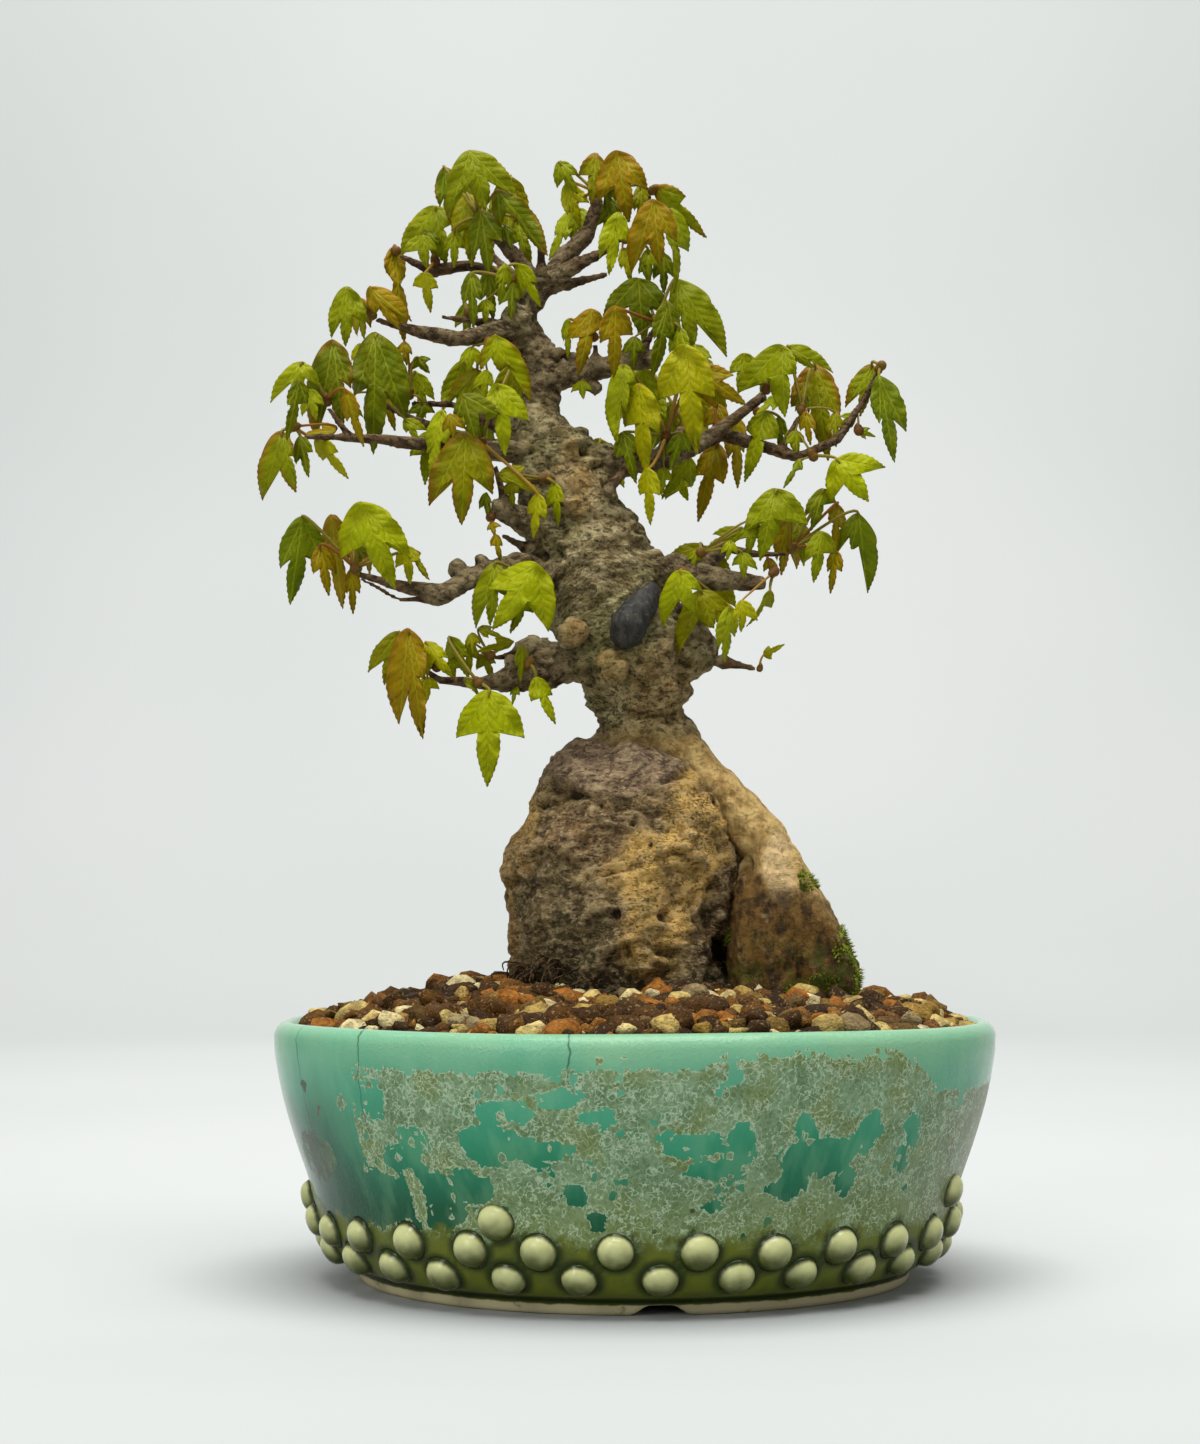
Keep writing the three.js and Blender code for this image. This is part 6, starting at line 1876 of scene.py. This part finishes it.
@dataclass
class Leaf:
    """One leaf, as its row reads it: where it is attached and its three tips as seen, in mm."""

    base: Array
    left: Array
    middle: Array
    right: Array
    depth: float
    facing: int
    tone: str
    turn: float = 0.0
    bow: float = 0.12
    seed: float = 0.0
    arch: float = 0.1
    fold: float = 0.45
    swell: float = 1.055

    @property
    def length(self) -> float:
        """From the stalk to the middle tip, in mm."""
        return float(np.linalg.norm(self.middle - self.base))

    @property
    def breadth(self) -> float:
        """Between the side tips, in mm."""
        return float(np.linalg.norm(self.right - self.left))

    @property
    def size(self) -> float:
        """The larger of its length and breadth, in mm."""
        return max(self.length, self.breadth)

    @property
    def hub(self) -> Array:
        """The middle that the blade's rings close on."""
        return self.base + 0.42 * (self.middle - self.base)

    def spread(self, spots: Array) -> Tuple[Array, Array]:
        """Where spots lie on the blade.

        Args:
            spots: Points of the view in mm.

        Returns:
            Shares along the middle vein, and how far across it in mm.
        """
        heading = (self.middle - self.base) / self.length
        offset = spots - self.base
        return offset @ heading / self.length, offset[:, 0] * heading[1] - offset[:, 1] * heading[0]

    def depth_at(self, spots: Array) -> Array:
        """How far back the blade lies.

        Args:
            spots: Points of the view in mm.

        Returns:
            The depth at each in mm.
        """
        along, across = self.spread(spots)
        fall = self.fold * np.abs(across) - self.arch * self.length * np.sin(math.pi * np.clip(along, 0, 1))
        return self.depth + self.facing * fall + self.turn * across

    def anchors(self) -> List[Array]:
        """The base, shoulders, tips and notches, from the base down the left side.

        Returns:
            Points of the view in mm.
        """
        rows = []
        for tip, aside in ((self.left, 0.17), (self.right, -0.17)):
            way = tip - self.base
            shoulder = self.base + 0.42 * way + aside * np.array((way[1], -way[0]))
            rows.append((shoulder, tip, self.base + 0.56 * ((tip + self.middle) / 2 - self.base)))
        return [self.base, *rows[0], self.middle, *rows[1][::-1]]

    def outline(self) -> Array:
        """The toothed outline, as points of the view in mm.

        Returns:
            Its points, from the base down the left side.
        """
        stops, hub = self.anchors(), self.hub
        pitch = max(0.62, self.size / 30)
        tooth = min(0.18, 0.01 * self.size + 0.03)
        bends = {0: (0.16, 0.66, 0.2, 0.14), 1: (0.34, 0.84, 0.19, 0.04), 2: (0.16, 0.66, 0.04, 0.19)}
        rows = []
        for i, (start, end) in enumerate(zip(stops, stops[1:] + stops[:1])):
            way = end - start
            reach = float(np.linalg.norm(way))
            if reach < 1e-6:
                continue
            normal = np.array((way[1], -way[0])) / reach
            if normal @ ((start + end) / 2 - hub) < 0:
                normal = -normal
            plain = i in (0, 7)
            near, far, full, slight = bends[0 if plain else 2 - i % 2]
            one = start + near * way + full * reach * normal
            two = start + far * way + slight * reach * normal
            count = max(2, int(round(reach / pitch)))
            for k in range(count):
                t = k / count
                spot = (1 - t) ** 3 * start + 3 * (1 - t) ** 2 * t * one + 3 * (1 - t) * t * t * two + t**3 * end
                if not plain and k > 0:
                    uneven = 0.6 + 0.8 * abs(noise.noise(Vector((spot[0] * 0.9, spot[1] * 0.9, self.seed))))
                    spot = spot + normal * tooth * uneven * (1.0 if k % 2 else -0.55)
                rows.append(spot)
        return hub + self.swell * (np.array(rows) - hub)

    def veins(self) -> List[Tuple[Array, float]]:
        """The way and the length of the three main veins."""
        ways = (tip - self.base for tip in (self.middle, self.left, self.right))
        return [(unit(way), float(np.linalg.norm(way))) for way in ways]

    def nearest_vein(self, spots: Array) -> Tuple[Array, Array, Array]:
        """The main vein that each spot lies nearest to.

        Args:
            spots: Points of the view in mm.

        Returns:
            Its number, how far off the spot lies in mm, and how far along it as a share of its length.
        """
        offset, away, share = spots - self.base, [], []
        for way, span in self.veins():
            along = np.clip(offset @ way, 0, span)
            away.append(np.linalg.norm(offset - along[:, None] * way, axis=1))
            share.append(along / span)
        nearest = np.argmin(away, axis=0)
        return nearest, np.min(away, axis=0), np.array(share)[nearest, np.arange(len(spots))]

    def fall(self, spots: Array, share: Array) -> Array:
        """How far the finished blade drops at each spot: folded, arched, wavy and curled at its tips.

        Args:
            spots: Points of the view in mm.
            share: How near each is to the edge, 0 to 1.

        Returns:
            The depth of each spot in mm.
        """
        along, across = self.spread(spots)
        _, away, reach = self.nearest_vein(spots)
        arch = self.arch * self.length * np.sin(math.pi * np.clip(along, 0, 1))
        fall = self.fold * (np.sqrt(across**2 + 0.7) - math.sqrt(0.7)) - arch
        fall -= 0.3 * smoothstep(0.0, 1.6, away) * min(1.0, self.size / 14)
        waves = np.array([noise.noise(Vector((x * 0.28, z * 0.28, self.seed))) for x, z in spots])
        curl = 0.55 + 0.9 * noise.noise(Vector((self.seed, 3.1, 0.4)))
        fall += (waves * 0.12 * share**2 + curl * 0.08 * smoothstep(0.72, 1.0, reach) * share) * self.size
        return self.depth + self.facing * fall + self.turn * across


@dataclass
class Spray:
    """One spray, gathered as one skin with stored values: its bud, its stalks and its leaves.

    The place is where its bud stands as seen, with its depth, and the size the bud's radius.
    """

    name: str
    place: Array
    size: float = 0.9
    thickness: float = 0.34
    rings: Tuple[float, ...] = (0.2, 0.4, 0.58, 0.74, 0.88, 1.0)
    steps: Tuple[int, ...] = (0, 1, -1, 2, 3, -2, 4, 5, -3, 6, 7, -4, 8, -5, 10, -7, 12)
    bows: Tuple[float, ...] = (0.12, 0.3, -0.25, 0.5, 0.8)
    stalk_radius: float = 0.42
    bud_radius: float = 1.8
    bud_rows: str = "-1.1 .5, -.7 .86, -.2 1, .1 .88, .15 .94, .6 .74, .66 .8, 1.15 .44, 1.5 .12"
    points: List[Array] = field(default_factory=list)
    faces: List[Face] = field(default_factory=list)
    chart: List[Array] = field(default_factory=list)
    values: List[Array] = field(default_factory=list)

    def add(
        self, points: Array, faces: List[Face], tone: Sequence[float],
        chart: Optional[Array] = None, edge: object = 0.0, bronze: float = 0.0,
    ) -> None:
        """Adds one closed form.

        Args:
            points: Its points in mm.
            faces: Its faces, as numbers into those points.
            tone: Its linear colour.
            chart: On a blade, vein coordinates for each corner of each face.
            edge: How near each point is to the blade's edge.
            bronze: How bronze its edge is.
        """
        first = sum(len(p) for p in self.points)
        self.points.append(points)
        self.faces += [tuple(first + i for i in f) for f in faces]
        veinless = np.tile((0.02, 0.0), (sum(len(f) for f in faces), 1))
        self.chart.append(veinless if chart is None else chart)
        values = np.empty((len(points), 7))
        values[:, :4], values[:, 4], values[:, 5], values[:, 6] = tone, chart is not None, edge, bronze
        self.values.append(values)

    def settle(self, leaves: List[Leaf], surface: BVHTree) -> None:
        """Moves the bud to where the frame has it, clear of the wood toward its leaves, then fits them.

        Args:
            leaves: Its leaves.
            surface: The frame's spray.
        """
        start = self.place
        way = unit(np.mean([(*leaf.base, leaf.depth) for leaf in leaves], axis=0) - start) * 0.25
        found = max(range(12), key=lambda k: (round(surface.find_nearest(seen_at(*(start + way * k)))[3], 2), -k))
        self.place = start + way * found
        for leaf in leaves:
            self.fit(leaf, surface)

    def fit(self, leaf: Leaf, surface: BVHTree) -> None:
        """Moves a leaf to the depth, and bends its stalk the way, that it has in the frame.

        Args:
            leaf: The leaf.
            surface: The frame's spray.
        """
        start, spots = leaf.depth, np.array(leaf.anchors() + [leaf.hub])
        best, choice = (1e9, start), (1e9, leaf.bow)
        for step in self.steps:
            leaf.depth = start + step
            depths = leaf.depth_at(spots)
            away = sum(min(surface.find_nearest(seen_at(x, z, d))[3], 3.0) for (x, z), d in zip(spots, depths))
            best = min(best, (away, leaf.depth))
        leaf.depth = best[1]
        for bow in self.bows:
            leaf.bow = bow
            _, knee, end = self.stalk_points(leaf)
            away = sum(surface.find_nearest(knee + (end - knee) * t)[3] for t in (0.0, 0.4, 0.7))
            choice = min(choice, (away, bow))
        leaf.bow = choice[1]

    def stalk_points(self, leaf: Leaf) -> Tuple[Array, Array, Array]:
        """How a stalk runs.

        Args:
            leaf: Its leaf.

        Returns:
            The blade's base, the knee beyond it and the stalk's end at the bud, in mm.
        """
        spots = np.array([leaf.base, leaf.hub, leaf.anchors()[1]])
        base, hub, side = (seen_at(x, z, d) for (x, z), d in zip(spots, leaf.depth_at(spots)))
        outward, end = unit(base - hub), seen_at(*self.place)
        square = unit(np.cross(side - base, outward))
        span = float(np.linalg.norm(end - base))
        square = square * math.copysign(1.0, square @ (end - base))
        knee = base + outward * (1 + 0.06 * span) + square * (1 + leaf.bow * span)
        return base, knee, end + (knee - end) * min(0.5, 0.35 * self.bud_radius / span)

    def blade(self, leaf: Leaf) -> None:
        """Adds a leaf's blade: a thin closed skin with veins, folds and a toothed edge.

        Args:
            leaf: The leaf.
        """
        rim, hub = leaf.outline(), leaf.hub
        count = len(rim)
        soft_rim = (np.roll(rim, 1, axis=0) + 2 * rim + np.roll(rim, -1, axis=0)) / 4
        rings = [hub + ((rim if share > 0.95 else soft_rim) - hub) * share for share in self.rings]
        flat = np.concatenate((hub[None, :], *rings))
        share = np.concatenate(((0.0,), np.repeat(self.rings, count)))
        middle = np.array([seen_at(x, z, d) for (x, z), d in zip(flat, leaf.fall(flat, share))])
        total, last = len(middle), 1 + (len(self.rings) - 1) * count
        faces, edge = [], []
        for i in range(count):
            j = (i + 1) % count
            faces.append((0, 1 + i, 1 + j))
            faces += [(low + i, low + count + i, low + count + j, low + j) for low in range(1, last, count)]
            edge.append((last + j, last + i, total + last + i, total + last + j))
        normal = np.zeros_like(middle)
        for f in faces:
            normal[list(f)] += np.cross(middle[f[1]] - middle[f[0]], middle[f[2]] - middle[f[0]])
        normal /= np.linalg.norm(normal, axis=1)[:, None].clip(1e-9)
        half = normal * (self.thickness / 2) * (1 - 0.55 * share)[:, None]
        shell = faces + [tuple(total + i for i in f[::-1]) for f in faces] + edge
        corners = [flat[[i % total for i in f]] for f in shell]
        nearest = leaf.nearest_vein(np.array([c.mean(axis=0) for c in corners]))[0]
        ways = np.array([way for way, _ in leaf.veins()])[np.repeat(nearest, [len(f) for f in shell])]
        offset = np.concatenate(corners) - leaf.base
        across = offset[:, 0] * ways[:, 1] - offset[:, 1] * ways[:, 0]
        chart = np.stack((across, (offset * ways).sum(axis=1)), axis=1) * MM
        word = leaf.tone.rstrip("+")
        jitter = 1 + 0.16 * noise.noise(Vector((leaf.seed, 8.2, 1.7)))
        tone = [c * jitter for c in srgb(*Tone[word.upper()].value)[:3]] + [1.0]
        bronze = 0.9 if leaf.tone.endswith("+") else (0.6 if word == "bronze" else 0.07)
        self.add(np.concatenate((middle + half, middle - half)), shell, tone, chart, np.tile(share, 2), bronze)

    def stalk(self, leaf: Leaf) -> None:
        """Adds a leaf's stalk, from just inside the blade round its knee to the bud.

        Args:
            leaf: The leaf.
        """
        base, knee, end = self.stalk_points(leaf)
        hub = seen_at(*leaf.hub, float(leaf.depth_at(leaf.hub[None, :])[0]))
        path = [base + (hub - base) * min(0.35, 1.4 / max(float(np.linalg.norm(hub - base)), 0.1))]
        for t in np.linspace(0.0, 1.0, 9):
            path.append((1 - t) ** 2 * base + 2 * (1 - t) * t * knee + t * t * end)
        thin = self.stalk_radius * (0.7 if leaf.size < 9 else 1.0)
        radii = [thin * 0.35] + [thin * (0.85 + 0.25 * (i / 8)) for i in range(9)]
        ripe = {"bronze": (150, 92, 44), "yellow": (176, 132, 60)}.get(leaf.tone.rstrip("+"), (146, 128, 52))
        self.add(*tube(np.array(path), radii, 6), srgb(*ripe))

    def bud(self, leaves: List[Leaf]) -> None:
        """Adds the scaly bud that the stalks spring from.

        Args:
            leaves: Its leaves.
        """
        start = seen_at(*self.place)
        way = unit(np.mean([seen_at(*leaf.base, leaf.depth) for leaf in leaves], axis=0) - start)
        rows = table(self.bud_rows) * self.size
        self.add(*tube(start + way * rows[:, :1], rows[:, 1], 9), srgb(118, 78, 44))

    def build(self, leaves: List[Leaf]) -> Object:
        """Gathers the bud and its leaves into one mesh.

        Args:
            leaves: Its leaves.

        Returns:
            The object.
        """
        self.bud(leaves)
        for leaf in leaves:
            self.blade(leaf)
            self.stalk(leaf)
        obj = mesh_object(f"spray_{self.name}", np.concatenate(self.points), self.faces)
        obj.data.uv_layers.new(name="veins").data.foreach_set("uv", np.concatenate(self.chart).ravel())
        values = np.concatenate(self.values)
        tone = obj.data.color_attributes.new("tone", "FLOAT_COLOR", "POINT")
        tone.data.foreach_set("color", values[:, :4].ravel())
        for column, label in enumerate(("blade", "edge", "bronze"), 4):
            set_floats(obj, label, values[:, column])
        return obj


@dataclass
class Foliage:
    """The leaves in their sprays, set where the frame's sprays are."""

    bud_size: float = 1.35
    back_leaves: int = 3
    seed: int = 3

    def read(self, row: LeafRow, bud: Array, facing: int, draw: Draw, placed: List[Leaf]) -> Leaf:
        """A leaf from its row, behind the earlier leaves that it would meet.

        Args:
            row: The row.
            bud: Where its spray starts.
            facing: 1 toward the viewer, -1 away.
            draw: The seeded draw.
            placed: The leaves read before.

        Returns:
            The leaf.
        """
        leaf = Leaf(*row.spots, float(bud[2] + row.behind), facing, row.tone)
        side = draw() - 0.5
        slim = leaf.breadth < 0.45 * leaf.length
        leaf.turn = 0.9 * math.copysign(1.0, side) if slim else 0.6 * side
        leaf.seed = side * 40
        centre = (leaf.base + leaf.middle) / 2
        near = [o for o in placed if np.linalg.norm((o.base + o.middle) / 2 - centre) < 0.42 * (o.size + leaf.size)]
        while any(abs(o.depth - leaf.depth) < 3.5 for o in near):
            leaf.depth += 1
        placed.append(leaf)
        return leaf

    def back_rows(self, span: Array, draw: Draw) -> List[LeafRow]:
        """Leaves that hang side by side behind a part of the view.

        Args:
            span: Left, right, top and bottom of that part.
            draw: The seeded draw.

        Returns:
            Their rows.
        """
        left, right, top, bottom = span
        pitch, tall = (right - left) / self.back_leaves, top - bottom
        side, rows = 0.75 * pitch, []
        for i in range(self.back_leaves):
            x = left + pitch * (i + 0.5)
            base = top - (i % 2) * 0.3 * tall - 2 * draw()
            low = base - 0.55 * tall - 2 * draw()
            spots = np.array(((x, base), (x - side, low + 4), (x + 1 - 2 * draw(), low), (x + side, low + 5)))
            rows.append(LeafRow(spots, 3 + 4 * draw(), ("green", "dark", "olive")[i % 3]))
        return rows

    def build(self, nodes: Dict[str, Object]) -> None:
        """Builds each spray as a piece.

        Args:
            nodes: The frame's nodes.
        """
        finish = LeafFinish().build()
        draw, placed, grown = seeded_draw(self.seed), [], {}
        for name, (bud, span, rows) in SPRAYS.items():
            rows, facing = [row for row in rows if not row.young], 1
            if len(span) > 0:
                rows, facing = self.back_rows(span, draw), -1
            grown[name] = [self.read(row, bud, facing, draw, placed) for row in rows]
        for name, (bud, _, rows) in SPRAYS.items():
            spray, leaves, stands_for = Spray(name, bud), grown[name], ()
            if leaves:
                spray.size, stands_for = self.bud_size, (f"leaves_{name}",)
                spray.settle(leaves, surface_of(nodes[stands_for[0]]))
            leaves += [self.read(row, bud, 1, draw, []) for row in rows if row.young]
            finish_piece(spray.build(leaves), finish, "leaf", *stands_for)


@dataclass(frozen=True)
class PlasticFinish:
    """Black drainage net, moulded and slightly scuffed."""

    def build(self) -> Material:
        """Builds the finish.

        Returns:
            The material.
        """
        g = Graph("drain_net")
        color = g.noise(4, 4, 0.7).blend(0.4, 0.66, (30, 32, 31), (66, 66, 62))
        return g.surface(color, 0.6, g.bump(g.noise(0.8, 3), 0.1), Specular_IOR_Level=0.4)


@dataclass(frozen=True)
class WireFinish:
    """Drawn aluminium wire, dull from the damp."""

    def build(self) -> Material:
        """Builds the finish.

        Returns:
            The material.
        """
        g = Graph("clip_wire")
        dull = g.noise(3, 4, 0.7).between(0.4, 0.62)
        color = g.mix(dull, (150, 150, 148), (112, 108, 100))
        rough = dull.by(0.25, 0.35)
        return g.surface(color, rough, g.bump(g.noise(0.5, 3), 0.05), Metallic=0.9)


@dataclass(frozen=True)
class FloorFinish:
    """A plain pale floor."""

    def build(self) -> Material:
        """Builds the finish.

        Returns:
            The material.
        """
        g = Graph("pale_floor")
        color = g.noise(900, 2).blend(0.35, 0.65, (182, 184, 182), (176, 179, 177))
        return g.surface(color, 0.75, None, Specular_IOR_Level=0.2)


@dataclass
class Drain:
    """The net over the pot's drain hole and the wire that holds it."""

    def build(self, nodes: Dict[str, Object]) -> None:
        """Dresses the two frame nodes as they are.

        Args:
            nodes: The frame's nodes.
        """
        for name, finish in (("drain_mesh", PlasticFinish().build()), ("mesh_clip", WireFinish().build())):
            dress(nodes[name], finish)
            LOG.info("%s: frame node dressed", name)


@dataclass
class Studio:
    """The pale sweep, the soft lights and the camera."""

    focal: float = 66.56
    sensor: float = 36.0
    pitch: float = 1.93
    shift: Tuple[float, float] = (-0.0239, 0.0627)

    def area(self, name: str, place: Color, aim: Color, size: Tuple[float, float], watts: float) -> None:
        """Adds a soft light.

        Args:
            name: Its name.
            place: Where it hangs, in metres.
            aim: What it points at, in metres.
            size: Its width and height in metres.
            watts: Its power.
        """
        lamp = bpy.data.lights.new(name, "AREA")
        lamp.shape = "RECTANGLE"
        lamp.size, lamp.size_y = size
        lamp.energy = watts
        obj = linked(name, lamp)
        obj.location = place
        obj.rotation_euler = (Vector(aim) - Vector(place)).to_track_quat("-Z", "Y").to_euler()

    def build(self) -> None:
        """Sets up floor, light and camera."""
        scene = bpy.context.scene
        rows = [(-3.0, 0.0), (1.2, 0.0)]
        rows += [(1.2 + 0.8 * math.sin(t), 0.8 - 0.8 * math.cos(t)) for t in np.linspace(0.15, math.pi / 2, 14)]
        rows += [(2.0, 4.0)]
        points, faces = [], []
        for y, z in rows:
            points += [(-4000, y * 1000, z * 1000 - 0.02), (4000, y * 1000, z * 1000 - 0.02)]
        for i in range(len(rows) - 1):
            faces.append((2 * i, 2 * i + 1, 2 * i + 3, 2 * i + 2))
        floor = mesh_object("floor_sweep", points, faces)
        dress(floor, FloorFinish().build())
        world = bpy.data.worlds.new("soft_room")
        world.use_nodes = True
        world.node_tree.nodes["Background"].inputs["Color"].default_value = srgb(236, 238, 240)
        world.node_tree.nodes["Background"].inputs["Strength"].default_value = 0.5
        scene.world = world
        scene.view_settings.view_transform = "Standard"
        self.area("overhead", (0.05, -0.2, 1.15), (0.0, 0.0, 0.1), (0.9, 0.8), 19.0)
        self.area("front_left", (-0.9, -1.1, 0.8), (0.0, 0.0, 0.14), (0.6, 0.8), 6.5)
        self.area("backdrop", (0.0, 0.7, 1.5), (0.0, 1.9, 0.5), (2.4, 0.5), 34.0)
        lens = bpy.data.cameras.new("view")
        lens.sensor_fit = "VERTICAL"
        lens.sensor_height = self.sensor
        lens.lens = self.focal
        lens.shift_x, lens.shift_y = self.shift
        lens.clip_start, lens.clip_end = 0.01, 20.0
        camera = linked("view", lens)
        camera.location = (0.0, -VIEW_DISTANCE * MM, VIEW_HEIGHT * MM)
        camera.rotation_euler = (math.radians(90 + self.pitch), 0.0, 0.0)
        scene.camera = camera


def main() -> None:
    """Builds the studio, then the pot, the bed, the stone, the wood and the leaves."""
    logging.basicConfig(level=logging.INFO, format="%(name)s %(message)s")
    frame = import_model()
    nodes = frame["nodes"]
    Studio().build()
    Pot().build()
    Bed().build(nodes["soil"])
    stone = Stone().build(nodes["rock"])
    wood = Wood().build(nodes["tree"])
    growth = Undergrowth()
    growth.moss(wood)
    growth.thin_roots(stone)
    WoundPutty().build(nodes["wound_putty"])
    Drain().build(nodes)
    Foliage().build(nodes)
    LOG.info("all pieces built")


if __name__ == "__main__":
    main()
